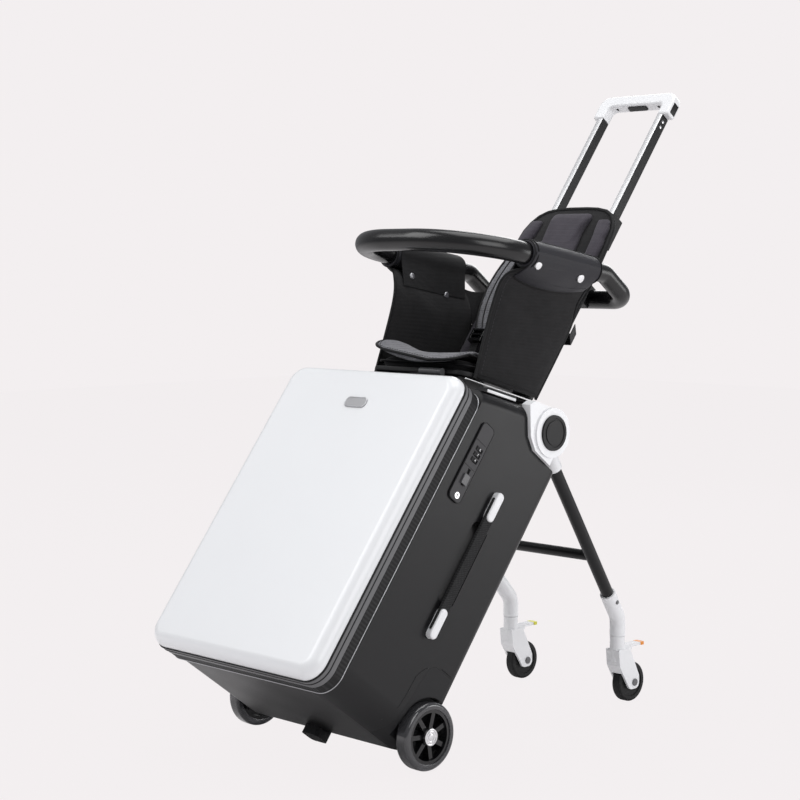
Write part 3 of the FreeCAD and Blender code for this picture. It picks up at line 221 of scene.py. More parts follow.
def roughSpread(mat, shader, factor, low, high):
    span = newNode(mat, "ShaderNodeMapRange")
    span.inputs["To Min"].default_value = low
    span.inputs["To Max"].default_value = high
    link(mat, factor, span.inputs["Value"])
    link(mat, span.outputs["Result"], shader.inputs["Roughness"])


def grainFinish(name, color, rough, grainScale=900, grain=0.15, spread=0.08, shade=0.88, **kind):
    # moulded plastic, paint or rubber: fine grain, soft blotches of tone and gloss
    mat, shader = startMaterial(name, color, rough, **kind)
    where = coords(mat)
    broad = noise(mat, where, 14.0, 4.0)
    high = [min(1, c * (2 - shade)) for c in color]
    tint(mat, shader, broad, [c * shade for c in color], high)
    roughSpread(mat, shader, broad, max(0.03, rough - spread), min(1, rough + spread))
    bump(mat, shader, noise(mat, where, grainScale, 3.0), grain, 0.0004)


def wovenFinish(name, dark, light, pitch, depth=0.5):
    # two crossing sets of yarns, with slubs of tone
    mat, shader = startMaterial(name, dark, 0.85, sheen=0.1, mirror=0.2)
    where = coords(mat)
    yarns = [wave(mat, where, pitch, 0.6, axis) for axis in ("X", "Y", "Z")]
    crossed = mathNode(mat, "MULTIPLY", mathNode(mat, "MAXIMUM", yarns[0], yarns[1]), yarns[2])
    slubs = mathNode(mat, "MULTIPLY_ADD", crossed, 0.6, noise(mat, where, 60.0, 5.0))
    tint(mat, shader, slubs, dark, light)
    bump(mat, shader, crossed, depth, pitch * 0.4)


def meshFinish(name, dark, light, cell):
    # spacer mesh: rows of small holes in a knitted face
    mat, shader = startMaterial(name, light, 0.8, sheen=0.1, mirror=0.2)
    where = coords(mat)
    holes = newNode(mat, "ShaderNodeTexVoronoi", Scale=1 / cell, Randomness=0.35)
    link(mat, where, holes.inputs["Vector"])
    span = newNode(mat, "ShaderNodeMapRange")
    span.inputs["From Min"].default_value = 0.15
    span.inputs["From Max"].default_value = 0.55
    link(mat, holes.outputs["Distance"], span.inputs["Value"])
    face = span.outputs["Result"]
    slubs = mathNode(mat, "MULTIPLY", noise(mat, where, 45.0, 4.0), 0.45)
    tint(mat, shader, mathNode(mat, "MULTIPLY_ADD", face, 0.7, slubs), dark, light)
    bump(mat, shader, face, 0.6, cell * 0.4)


def brushedFinish(name, color, rough, along):
    # drawn or turned metal: long thin scratches along one way
    mat, shader = startMaterial(name, color, rough, metal=1.0)
    scale = [1400.0, 1400.0, 1400.0]
    scale["XYZ".index(along)] = 12.0
    where = coords(mat, leanTurn if along == "Z" else (0, 0, 0), scale)
    lines = noise(mat, where, 1.0, 3.0)
    tint(mat, shader, lines, [c * 0.86 for c in color], color)
    roughSpread(mat, shader, lines, rough * 0.7, rough * 1.5)
    bump(mat, shader, lines, 0.05, 0.0002)


def ribbedFinish(name, dark, light, pitch):
    # fine teeth across a band, as on a zip
    mat, shader = startMaterial(name, dark, 0.55, mirror=0.3)
    where = coords(mat, leanTurn)
    teeth = mathNode(mat, "MULTIPLY", *[wave(mat, where, pitch, 0.2, axis) for axis in ("X", "Z")])
    tint(mat, shader, teeth, dark, light)
    bump(mat, shader, teeth, 0.6, pitch * 0.4)


def clearFinish(name, color):
    # clear cast tyre with faint swirls
    mat, shader = startMaterial(name, color, 0.08, coat=0.6)
    shader.inputs["Transmission Weight"].default_value = 0.6
    shader.inputs["IOR"].default_value = 1.46
    swirl = noise(mat, coords(mat), 25.0, 3.0)
    tint(mat, shader, swirl, [c * 0.85 for c in color], color)
    roughSpread(mat, shader, swirl, 0.04, 0.14)


# plastics and paints: name, colour, roughness, grain scale and height, spread of gloss, share of tone
grainFinish("lidWhite", (0.80, 0.81, 0.825), 0.30, 260, 0.02, 0.015, 0.992, coat=0.2)
grainFinish("whitePlastic", (0.80, 0.805, 0.82), 0.28, 420, 0.04, 0.06, 0.98, coat=0.2)
# the lid rim is near black; its grey base colour is painted sheen
grainFinish("rimPaintedSheen", (0.125, 0.125, 0.13), 0.42, 700, 0.12, mirror=0.4)
grainFinish("lockGrey", (0.045, 0.044, 0.047), 0.5, 420, 0.3, mirror=0.35)
ribbedFinish("gasketBlack", (0.005, 0.005, 0.0055), (0.017, 0.017, 0.018), 0.0030)
grainFinish("shellBlack", (0.0062, 0.0062, 0.0070), 0.34, 1100, 0.12, 0.05, 0.85, mirror=0.3)
grainFinish("housingBlack", (0.0085, 0.0085, 0.0095), 0.5, 800, 0.3, mirror=0.3)
grainFinish("blackPlastic", (0.0065, 0.0065, 0.0072), 0.42, 900, 0.2, mirror=0.3)
grainFinish("glossBlack", (0.005, 0.005, 0.0055), 0.16, 300, 0.03, 0.05, coat=0.3, mirror=0.4)
grainFinish("tubeBlack", (0.006, 0.006, 0.0066), 0.36, 1500, 0.12, mirror=0.3)
grainFinish("rollerBlack", (0.006, 0.006, 0.0064), 0.55, 500, 0.25, mirror=0.3)
grainFinish("foamBlack", (0.0055, 0.0054, 0.0058), 0.25, 650, 0.08, 0.05, 0.85, mirror=0.5)
grainFinish("barrelGrey", (0.11, 0.11, 0.115), 0.35, 700, 0.1)
brushedFinish("snapBright", (0.92, 0.92, 0.93), 0.42, "X")
brushedFinish("stripSilver", (0.93, 0.93, 0.94), 0.42, "Z")
brushedFinish("plateSteel", (0.34, 0.34, 0.35), 0.40, "X")
brushedFinish("chrome", (0.82, 0.82, 0.83), 0.14, "X")
brushedFinish("steel", (0.55, 0.55, 0.57), 0.3, "X")
brushedFinish("rodAlloy", (0.80, 0.80, 0.82), 0.18, "Z")
clearFinish("clearTyre", (0.10, 0.10, 0.108))
grainFinish("hubBlack", (0.006, 0.006, 0.0068), 0.2, 300, 0.05, 0.06, coat=0.3, mirror=0.4)
grainFinish("tipOrange", (0.75, 0.26, 0.03), 0.4, 600, 0.15)
grainFinish("tipLime", (0.62, 0.6, 0.05), 0.4, 600, 0.15)
wovenFinish("fabricBlack", (0.0045, 0.0045, 0.0048), (0.013, 0.0125, 0.0135), 0.0011)
wovenFinish("fabricPanel", (0.0065, 0.0063, 0.0067), (0.017, 0.0165, 0.0175), 0.0011)
grainFinish("sleeveSlate", (0.022, 0.0215, 0.026), 0.52, 1300, 0.3, 0.05, 0.85, mirror=0.3)
wovenFinish("backFabric", (0.028, 0.025, 0.032), (0.062, 0.056, 0.068), 0.0012)
meshFinish("meshGrey", (0.035, 0.035, 0.039), (0.19, 0.19, 0.205), 0.0026)
wovenFinish("webbing", (0.005, 0.005, 0.0055), (0.02, 0.02, 0.021), 0.0016, 0.8)
grainFinish("piping", (0.006, 0.006, 0.0066), 0.6, 900, 0.3, mirror=0.25)
grainFinish("thread", (0.05, 0.05, 0.054), 0.7, 1800, 0.3, mirror=0.2)
grainFinish("floorPale", (0.86, 0.835, 0.84), 0.8, 30, 0.0, 0.02, 0.99)
print("materials:", len(finishes))


# rigid pieces whose CAD shape is right: a merged copy with eased edges and a finish

rigidPieces = {
    # node: (finish, slot, edge in mm)
    "lid_shell": ("lidWhite", "lid_white", 0.0),
    "bumper_bar": ("foamBlack", "bar_foam", 0.6),
    "rear_loop": ("foamBlack", "bar_foam", 0.6),
    "back_strap": ("webbing", "seat_fabric", 0.4),
    "carry_strap": ("webbing", "seat_fabric", 1.2),
    "lid_rim": ("rimPaintedSheen", "rim_grey", 0.8),
    "rim_gasket": ("gasketBlack", "gasket_black", 0.6),
    "lid_plate": ("plateSteel", "bright_metal", 0.4),
    "lid_hinge_leaves": ("steel", "steel", 0.3),
    "case_hinge_leaves": ("steel", "steel", 0.3),
    "back_shell": ("shellBlack", "shell_black", 1.2),
    "wheel_housings": ("housingBlack", "housing_black", 0.8),
    "bottom_foot": ("housingBlack", "housing_black", 1.5),
    "saddle": ("housingBlack", "housing_black", 1.0),
    "wheel_axles": ("steel", "steel", 0.3),
    "hinge_brackets": ("whitePlastic", "white_plastic", 1.4),
    "hinge_pins": ("steel", "steel", 0.4),
    "lock_plate": ("lockGrey", "black_plastic", 0.5),
    "lock_dial_1": ("blackPlastic", "black_plastic", 0.4),
    "lock_dial_2": ("blackPlastic", "black_plastic", 0.4),
    "lock_dial_3": ("blackPlastic", "black_plastic", 0.4),
    "lock_latch": ("barrelGrey", "bright_metal", 0.5),
    "key_cylinder": ("chrome", "bright_metal", 0.3),
    "carry_caps": ("whitePlastic", "white_plastic", 0.8),
    "leg_knuckles": ("whitePlastic", "white_plastic", 1.0),
    "leg_tubes": ("tubeBlack", "tube_black", 0.3),
    "leg_sockets": ("whitePlastic", "white_plastic", 0.8),
    "leg_crossbar": ("tubeBlack", "tube_black", 0.3),
    "brake_pedal_right": ("tipOrange", "pedal_orange", 0.6),
    "brake_pedal_left": ("tipLime", "pedal_lime", 0.6),
    "trolley_sleeves": ("rodAlloy", "rod_alloy", 0.4),
    "lower_rods": ("tubeBlack", "rod_alloy", 0.6),
    "upper_rods": ("tubeBlack", "rod_alloy", 0.8),
    "rod_clips": ("blackPlastic", "black_plastic", 0.9),
    "grip": ("whitePlastic", "white_plastic", 0.8),
    "grip_button": ("blackPlastic", "black_plastic", 0.6),
    "seat_pan": ("housingBlack", "housing_black", 1.8),
    "seat_brackets": ("blackPlastic", "rod_alloy", 1.0),
    # seat rails: white plastic given a black finish as painted shade where the side panels shade them; their
    # lit outer side is a white strip in the trim below
    "seat_rails": ("housingBlack", "white_plastic", 1.2),
    "harness_buckles": ("glossBlack", "black_plastic", 0.7),
}
pairedPieces = {
    "hinge_button": ("blackPlastic", "black_plastic", 0.5),
    "caster_fork": ("whitePlastic", "white_plastic", 0.9),
    "caster_bolt": ("barrelGrey", "steel", 0.4),
    "caster_wheel": ("rollerBlack", "roller_black", 0.5),
    "wheel_tyre": ("clearTyre", "clear_tyre", 1.0),
    "wheel_hub": ("hubBlack", "hub_black", 0.6),
}
for node, looks in pairedPieces.items():
    for side, sign in bothSides:
        rigidPieces[node + "_" + side.lower()] = looks
bodyOf = {n: b for b, nodes in frame["record"]["behaviour"]["bodies"].items() for n in nodes}


def mergedCopy(node, name):
    obj = bpy.data.objects.new(name, frame["nodes"][node].data.copy())
    bpy.context.scene.collection.objects.link(obj)
    editAll(obj)
    bpy.ops.mesh.remove_doubles(threshold=0.00001)
    bpy.ops.mesh.dissolve_limited(angle_limit=math.radians(0.4))
    backToObject()
    return obj


def dressNode(node, finish, slot, edge):
    obj = mergedCopy(node, node.replace("_", "-") + "-piece")
    if edge > 0:
        easeEdges(obj, edge / 1000, 2, 40)
    smooth(obj, 32)
    applyMod(obj, "WEIGHTED_NORMAL", keep_sharp=True)
    finishPiece(obj, bodyOf[node], finish, slot, node)


for node, (finish, slot, edge) in rigidPieces.items():
    dressNode(node, finish, slot, edge)
print("rigid pieces dressed:", len(rigidPieces))


# soft goods: cut to shape or laid over their neighbours; the padded ones are swollen by a short cloth run


def plate(name, points, depth):
    bpy.ops.mesh.primitive_circle_add(vertices=len(points), radius=0.1, fill_type="NGON")
    obj = named(name)
    for vert, (a, b) in zip(obj.data.vertices, points):
        vert.co = (a, b, 0)
    editAll(obj)
    bpy.ops.mesh.extrude_region_move(TRANSFORM_OT_translate={"value": (0, 0, depth)})
    backToObject()
    return outward(obj)


puffFrames = 20


def puff(obj, voxel, pressure, cap, fine=1):
    if voxel:
        applyMod(obj, "REMESH", mode="VOXEL", voxel_size=voxel, use_smooth_shade=True)
    before = [vert.co.copy() for vert in obj.data.vertices]
    pick(obj)
    cloth = obj.modifiers.new("Cloth", "CLOTH")
    cloth.settings.use_pressure = True
    cloth.settings.uniform_pressure_force = pressure
    cloth.settings.effector_weights.gravity = 0
    cloth.point_cache.frame_end = puffFrames
    for step in range(1, puffFrames + 1):
        bpy.context.scene.frame_set(step)
    bpy.ops.object.modifier_apply(modifier=cloth.name)
    bpy.context.scene.frame_set(1)
    for vert, old in zip(obj.data.vertices, before):
        move = vert.co - old
        if move.length > cap:
            vert.co = old + move.normalized() * cap
    applyMod(obj, "SMOOTH", factor=0.5, iterations=3)
    if fine:
        applyMod(obj, "SUBSURF", levels=fine, render_levels=fine)
    return obj


def clip(obj, axis, low, high):
    for vert in obj.data.vertices:
        vert.co[axis] = min(max(vert.co[axis], low), high)


def mapPoints(obj, place):
    for vert in obj.data.vertices:
        vert.co = caseAxes @ Vector(place(*vert.co))
    return outward(obj)


def swollen(name, outline, cut, low, high, place, lift=0.0, fine=1):
    # a cut piece, swollen, held between two levels and put in its place
    obj = plate(name, outline, cut["depth"])
    for vert in obj.data.vertices:
        vert.co.z += lift
    puff(obj, cut["voxel"], cut["pressure"], cut["swell"], fine)
    clip(obj, 2, low, high)
    mapPoints(obj, place)
    return smooth(obj, 60)


def corners(points, radii, steps=8):
    # a closed outline with rounded corners
    line = []
    for i, corner in enumerate(points):
        spot = Vector(corner)
        before = (Vector(points[i - 1]) - spot).normalized()
        after = (Vector(points[(i + 1) % len(points)]) - spot).normalized()
        if radii[i] <= 0:
            line.append(tuple(spot))
            continue
        half = before.angle(after) / 2
        middle = (before + after).normalized()
        centre = spot + middle * (radii[i] / math.sin(half))
        first = spot + before * (radii[i] / math.tan(half)) - centre
        last = spot + after * (radii[i] / math.tan(half)) - centre
        for k in range(steps + 1):
            line.append(tuple(centre + first.lerp(last, k / steps).normalized() * radii[i]))
    return line


def roundedBox(low, high, radii, steps=8):
    return corners([low, (high[0], low[1]), high, (low[0], high[1])], radii, steps)


def arc(first, through, last, steps):
    # points on the circle through three spots
    ax, ay, bx, by, cx, cy = *first, *through, *last
    d = 2 * (ax * (by - cy) + bx * (cy - ay) + cx * (ay - by))
    a = ax * ax + ay * ay
    b = bx * bx + by * by
    c = cx * cx + cy * cy
    ux = (a * (by - cy) + b * (cy - ay) + c * (ay - by)) / d
    uy = (a * (cx - bx) + b * (ax - cx) + c * (bx - ax)) / d
    start = math.atan2(ay - uy, ax - ux)
    middle = (math.atan2(by - uy, bx - ux) - start) % (2 * math.pi)
    sweep = (math.atan2(cy - uy, cx - ux) - start) % (2 * math.pi)
    if middle > sweep:
        sweep -= 2 * math.pi
    radius = math.hypot(ax - ux, ay - uy)
    turns = [start + sweep * k / steps for k in range(steps + 1)]
    return [(ux + radius * math.cos(turn), uy + radius * math.sin(turn)) for turn in turns]


def cord(name, spots, radius, closed=False, sides=3):
    # a thin sewn-in cord or edge through spots in the case's axes
    bpy.ops.curve.primitive_bezier_curve_add()
    obj = bpy.context.object
    obj.data.splines.clear()
    spline = obj.data.splines.new("POLY")
    spline.points.add(len(spots) - 1)
    for point, spot in zip(spline.points, spots):
        point.co = (*(caseAxes @ Vector(spot)), 1)
    spline.use_cyclic_u = closed
    obj.data.dimensions = "3D"
    obj.data.bevel_depth = radius
    obj.data.bevel_resolution = sides
    obj.data.use_fill_caps = True
    pick(obj)
    bpy.ops.object.convert(target="MESH")
    obj = named(name)
    settle(obj, Matrix.Identity(4))
    return smooth(outward(obj), 60)


def stitches(name, spots, length, gap, thick):
    # a row of short threads along spots in the case's axes
    line = [caseAxes @ Vector(spot) for spot in spots]
    reach = [0.0]
    for first, last in zip(line, line[1:]):
        reach.append(reach[-1] + (last - first).length)

    def spotAt(run):
        k = max(i for i in range(len(line) - 1) if reach[i] <= run)
        return line[k].lerp(line[k + 1], (run - reach[k]) / max(reach[k + 1] - reach[k], 0.000001))

    threads = []
    start = gap
    while start + length < reach[-1]:
        first = spotAt(start)
        last = spotAt(start + length)
        turn = (last - first).to_track_quat("Z", "Y").to_euler()
        bpy.ops.mesh.primitive_cylinder_add(vertices=6, radius=thick, depth=length,
                                            location=(first + last) / 2, rotation=turn)
        threads.append(bpy.context.object)
        start += length + gap
    obj = joinAll(threads, name)
    settle(obj, Matrix.Identity(4))
    return smooth(obj, 60)


slopeRise = math.radians(21.2)
slopeStart = (0.040, 0.4625)
barFall = math.radians(27.5)
barRear = (0.183, 0.781)


def onSlope(x, along, above):
    return (x, slopeStart[0] + along * math.cos(slopeRise) - above * math.sin(slopeRise),
            slopeStart[1] + along * math.sin(slopeRise) + above * math.cos(slopeRise))


def onBar(x, ahead, above):
    return (x, barRear[0] - ahead * math.cos(barFall) - above * math.sin(barFall),
            barRear[1] - ahead * math.sin(barFall) + above * math.cos(barFall))


rayStart = 0.06


def drape(obj, spots, way, lift=0.0):
    # spots in the case's axes, moved along way until they lie on the piece
    bpy.context.view_layer.update()
    along = (caseAxes.to_3x3() @ Vector(way)).normalized()
    back = caseAxes.inverted()
    line = []
    for spot in spots:
        hit, place, normal, face = obj.ray_cast(caseAxes @ Vector(spot) - along * rayStart, along)
        if hit:
            line.append(tuple(back @ (place - along * lift)))
    return line


def dome(name, spot, way, radius, height):
    # a low round head, such as a snap or a screw, standing on spot
    along = (caseAxes.to_3x3() @ Vector(way)).normalized()
    bpy.ops.mesh.primitive_cylinder_add(vertices=28, radius=radius, depth=height)
    obj = named(name)
    easeEdges(obj, height * 0.42, 4, 60)
    turn = along.to_track_quat("Z", "Y").to_matrix().to_4x4()
    turn.translation = caseAxes @ Vector(spot)
    settle(obj, turn)
    return smooth(obj, 50)


def slab(name, low, high, edge, place=lambda x, v, w: (x, v, w)):
    # a small block with eased edges, between two corners in the case's axes or those of place
    bpy.ops.mesh.primitive_cube_add(size=1)
    obj = named(name)
    for vert in obj.data.vertices:
        vert.co = [low[i] + (vert.co[i] + 0.5) * (high[i] - low[i]) for i in range(3)]
    easeEdges(obj, edge, 2, 40)
    mapPoints(obj, place)
    return smooth(obj, 40)


def sideSlab(name, sign, cut):
    # a slab on one side of the case, from a piece's sizes
    x = sign * cut["x"]
    return slab(name, (x - cut["half"], cut["front"], cut["low"]), (x + cut["half"], cut["rear"], cut["high"]),
                cut["edge"])


def clothGrid(name, across, up, place):
    # a piece of cloth: place turns its shares across and up into a spot in the case's axes
    bpy.ops.mesh.primitive_grid_add(x_subdivisions=across, y_subdivisions=up, size=1)
    obj = named(name)
    for vert in obj.data.vertices:
        vert.co = caseAxes @ Vector(place(vert.co.x + 0.5, vert.co.y + 0.5))
    return outward(obj)


def sewCord(name, spots, radius, closed=False, slot="seat_fabric"):
    return finishPiece(cord(name, spots, radius, closed), "case", "piping", slot)


def sewStitches(name, spots, stitch, slot="seat_fabric"):
    return finishPiece(stitches(name, spots, *stitch), "case", "thread", slot)


# stitch sizes below are length, gap and thickness

cushion = {"half": 0.0975, "front": 0.053, "rear": 0.167, "base": 0.0354, "top": 0.0525, "depth": 0.0135,
           "corner": 0.022, "lift": 0.002, "voxel": 0.0045, "pressure": 5.0, "swell": 0.006,
           "seamLift": 0.009, "seamShare": 1.02, "piping": 0.0017}


def buildCushion():
    c = cushion
    outline = roundedBox((-c["half"], c["front"]), (c["half"], c["rear"]), [c["corner"]] * 4)
    obj = swollen("seatCushion", outline, c, c["base"], c["top"], onSlope, c["base"] + c["lift"])
    finishPiece(obj, "case", "fabricBlack", "seat_fabric", "seat_cushion")
    rim = [onSlope(x * c["seamShare"], s, c["base"] + c["seamLift"]) for x, s in outline]
    sewCord("cushionPiping", rim, c["piping"], closed=True)


buildCushion()
print("cushion done")


seatMat = {"half": 0.0945, "front": 0.0185, "rear": 0.1615, "depth": 0.0045, "frontCorner": 0.044,
       "rearCorner": 0.012, "inset": 0.001, "voxel": 0.003, "pressure": 3.0, "swell": 0.002,
       "under": -0.0012, "over": 0.0068, "level": 0.0475, "turned": 0.020, "flat": 0.005,
       "lip": 0.0125, "lipRun": 0.07, "droop": 0.009, "droopStart": -0.06, "droopAcross": 0.10,
       "droopRun": 0.06, "fall": 0.007, "fallStart": 0.10, "fallRun": 0.06, "calm": 0.6,
       "piping": 0.0022, "pipingInset": 0.0014, "hem": 0.0065, "threadLift": 0.0002,
       "stitch": (0.0035, 0.0022, 0.0005)}


def ease(value, start, length):
    # 0 before start, 1 after start + length, smooth between
    t = min(max((value - start) / length, 0.0), 1.0)
    return t * t * (3 - 2 * t)


def matPlace(x, along, up):
    # the front lip slopes down to its edge, and the left side turns up as it does in the photograph
    m = seatMat
    fall = ease(along, m["fallStart"], m["fallRun"])
    side = (m["turned"] if x < 0 else m["flat"]) * (x / m["half"]) ** 2 * (1 - m["calm"] * fall)
    lip = m["lip"] * ease(along, m["front"], m["lipRun"])
    near = 1 - ease(along, m["front"], m["droopRun"])
    droop = m["droop"] * ease(x, m["droopStart"], m["droopAcross"]) * near
    return onSlope(x, along, m["level"] + up + side + lip - droop - m["fall"] * fall)


def matOutline(inset):
    m = seatMat
    half = m["half"] - inset
    return roundedBox((-half, m["front"] + inset), (half, m["rear"] - inset),
                      [m["frontCorner"] - inset] * 2 + [m["rearCorner"] - inset] * 2, 12)


def buildMat():
    m = seatMat
    obj = swollen("seatMat", matOutline(m["inset"]), m, m["under"], m["over"], matPlace)
    finishPiece(obj, "case", "meshGrey", "mesh_grey", "seat_mat")
    edge = [matPlace(x, s, m["piping"]) for x, s in matOutline(m["pipingInset"])]
    sewCord("matPiping", edge, m["piping"], closed=True)
    line = matOutline(m["hem"])
    hem = [matPlace(x, s, 0.0) for x, s in line + line[:1]]
    down = (0, math.sin(slopeRise), -math.cos(slopeRise))
    sewStitches("matStitches", drape(obj, hem, down, m["threadLift"]), m["stitch"])


buildMat()
print("seat mat done")


backPad = {"rear": 0.2357, "board": 0.0085, "boardEdge": 0.002, "deep": 0.0222, "depth": 0.0075,
           "sunk": 0.001, "under": 0.003, "voxel": 0.0042, "pressure": 4.0, "swell": 0.0062,
           "piping": 0.0034, "pipingAhead": 0.0072, "pipingShare": 0.992, "pipingDrop": 0.0008,
           "shoulder": 0.9, "seamX": 0.040, "seamFoot": 0.585, "seamStep": 0.0115, "seamSpots": 30,
           "threadLift": 0.0001, "stitch": (0.0038, 0.0026, 0.0005)}
# heights up the case, each with the backrest's half width there
backHalf = [(0.558, 0.0885), (0.585, 0.0955), (0.62, 0.1005), (0.70, 0.1028), (0.79, 0.1036), (0.86, 0.1005),
            (0.898, 0.0965), (0.915, 0.090), (0.929, 0.079), (0.938, 0.064), (0.9425, 0.044), (0.944, 0.020)]
middlePad = {"half": 0.044, "waistHalf": 0.049, "low": 0.566, "waist": 0.80, "high": 0.935, "corner": 0.012,
             "waistRound": 0.06}
wingPad = {"foot": 0.570, "step": 0.012, "levels": 31, "least": 0.079, "inset": 0.0022, "inner": 0.058,
           "waist": 0.66, "bow": 0.007, "bowRun": 0.30}


def backWidth(w):
    for (w0, x0), (w1, x1) in zip(backHalf, backHalf[1:]):
        if w <= w1:
            return x0 + (x1 - x0) * (w - w0) / (w1 - w0)
    return backHalf[-1][1]


def backPlace(x, w, ahead):
    return (x, backPad["rear"] - ahead, w)


def backCuts():
    # a middle panel and two wings, with a sewn valley between them
    m = middlePad
    right = [(m["half"], m["low"]), (m["waistHalf"], m["waist"]), (m["half"], m["high"])]
    left = [(-x, w) for x, w in reversed(right)]
    middle = corners(left[2:] + right + left[:2], [m["corner"], m["corner"], m["waistRound"]] * 2)
    g = wingPad
    levels = [g["foot"] + g["step"] * k for k in range(g["levels"])]
    outer = [(backWidth(w) - g["inset"], w) for w in levels if backWidth(w) > g["least"]]
    inner = [(g["inner"] + g["bow"] * math.sin(math.pi * max(w - g["waist"], 0) / g["bowRun"]), w)
             for x, w in outer]
    wing = inner + list(reversed(outer))
    return {"backMiddle": middle, "backWingRight": wing, "backWingLeft": [(-x, w) for x, w in reversed(wing)]}


def buildBackrest():
    b = backPad
    outline = [(x, w) for w, x in backHalf] + [(-x, w) for w, x in reversed(backHalf)]
    board = plate("backBoard", outline, b["board"])
    easeEdges(board, b["boardEdge"], 2, 50)
    mapPoints(board, backPlace)
    smooth(board, 50)
    finishPiece(board, "case", "fabricBlack", "back_fabric", "backrest")
    pads = {}
    for name, cut in backCuts().items():
        obj = swollen(name, cut, b, b["board"] - b["under"], b["deep"], backPlace, b["board"] - b["sunk"])
        finishPiece(obj, "case", "backFabric", "back_fabric", "backrest")
        pads[name] = obj
    edge = [backPlace(x * b["pipingShare"], w - b["pipingDrop"] * (w > b["shoulder"]), b["pipingAhead"])
            for x, w in outline]
    sewCord("backPiping", edge, b["piping"], closed=True, slot="back_fabric")
    for side, sign in bothSides:
        levels = [b["seamFoot"] + b["seamStep"] * k for k in range(b["seamSpots"])]
        run = [backPlace(sign * b["seamX"], level, 0.0) for level in levels]
        seam = drape(pads["backMiddle"], run, (0, 1, 0), b["threadLift"])
        sewStitches("backSeam" + side, seam, b["stitch"], slot="back_fabric")


buildBackrest()
print("backrest done")


panel = {"thick": 0.0038, "bow": 0.004, "slack": 0.0011, "gap": 0.0025, "across": 26, "up": 38,
         "pressure": 0.8, "swell": 0.0010, "x": 0.1058, "flareX": 0.1178, "topX": 0.1450, "rear": 0.230,
         "footFront": 0.092, "footLift": 0.027, "waistFront": (0.057, 0.6225), "waistRear": 0.6925,
         "flareFront": (0.042, 0.6665), "flareRear": 0.7365, "topLow": -0.0221, "topFront": 0.164,
         "topRear": 0.006, "binding": 0.0024, "bindShare": 0.012, "seamShare": 0.065, "threadLift": 0.0001,
         "stitch": (0.0036, 0.0026, 0.00045), "hemShare": 0.035, "hem": 0.0007, "hemLift": 0.0003}
footBead = {"x": 0.1060, "front": 0.080, "step": 0.0074, "spots": 21, "drop": 0.0042, "radius": 0.0011}


def panelFoot(v):
    return slopeStart[1] + (v - slopeStart[0]) * math.tan(slopeRise) + panel["footLift"] / math.cos(slopeRise)


def panelCuts():
    # front spot, rear spot and side place of the panel at its foot, waist, flare and top
    p = panel
    rear = p["rear"]
    frontTop = onBar(0, p["topFront"], p["topLow"])[1:]
    rearTop = onBar(0, p["topRear"], p["topLow"])[1:]
    return [
        ((p["footFront"], panelFoot(p["footFront"])), (rear, panelFoot(rear)), p["x"]),
        (p["waistFront"], (rear, p["waistRear"]), p["x"]),
        (p["flareFront"], ((rear + rearTop[0]) / 2, p["flareRear"]), p["flareX"]),
        (frontTop, rearTop, p["topX"]),
    ]


def curve(values, share):
    # a smooth run through evenly numbered values
    at = min(share * (len(values) - 1), len(values) - 1.000001)
    k = int(at)
    t = at - k
    p = [values[min(max(k + i, 0), len(values) - 1)] for i in (-1, 0, 1, 2)]
    return 0.5 * (2 * p[1] + (p[2] - p[0]) * t + (2 * p[0] - 5 * p[1] + 4 * p[2] - p[3]) * t * t
                  + (3 * p[1] - p[0] - 3 * p[2] + p[3]) * t ** 3)


def panelSpot(across, up):
    cuts = panelCuts()
    front = [curve([c[0][i] for c in cuts], up) for i in (0, 1)]
    rear = [curve([c[1][i] for c in cuts], up) for i in (0, 1)]
    bow = panel["bow"] * 4 * across * (1 - across)
    middle = math.sin(math.pi * across) * math.sin(math.pi * up)
    slack = panel["slack"] * math.sin(9 * across + 4 * up) * middle
    return (curve([c[2] for c in cuts], up) + panel["gap"] + bow + slack,
            front[0] + (rear[0] - front[0]) * across, front[1] + (rear[1] - front[1]) * across)


def buildPanels():
    p = panel
    done = {}
    for side, sign in bothSides:
        def place(across, up):
            x, v, w = panelSpot(across, up)
            return (sign * x, v, w)
        obj = clothGrid("sidePanel" + side, p["across"], p["up"], place)
        applyMod(obj, "SOLIDIFY", thickness=p["thick"], offset=0)
        outward(obj)
        puff(obj, 0, p["pressure"], p["swell"])
        smooth(obj, 60)
        finishPiece(obj, "case", "fabricPanel", "seat_fabric", "side_panels")
        for edge, share in (("Front", p["bindShare"]), ("Rear", 1 - p["bindShare"])):
            sewCord("panelBinding" + edge + side, [place(share, k / 40) for k in range(41)], p["binding"])
        inward = (-sign, 0, 0)
        seam = drape(obj, [place(p["seamShare"], 0.03 + k / 42) for k in range(39)], inward, p["threadLift"])
        sewStitches("panelSeam" + side, seam, p["stitch"])
        hem = drape(obj, [place(0.04 + k / 30, p["hemShare"]) for k in range(28)], inward, p["hemLift"])
        sewCord("panelFootSeam" + side, hem, p["hem"])
        addFootBead(side, sign)
        done[sign] = obj
        buildGusset(side, sign)
    return done


def addFootBead(side, sign):
    b = footBead
    run = [b["front"] + b["step"] * k for k in range(b["spots"])]
    spots = [(sign * b["x"], v, panelFoot(v) - b["drop"]) for v in run]
    finishPiece(cord("panelFootBead" + side, spots, b["radius"]), "case", "stripSilver", "rod_alloy")


gusset = {"low": 0.690, "high": 0.772, "depth": 0.2285, "thick": 0.0024, "sag": 0.010, "across": 12, "up": 16,
          "panelShare": 0.985, "panelLow": 0.56, "panelRun": 0.43, "tuck": 0.004}


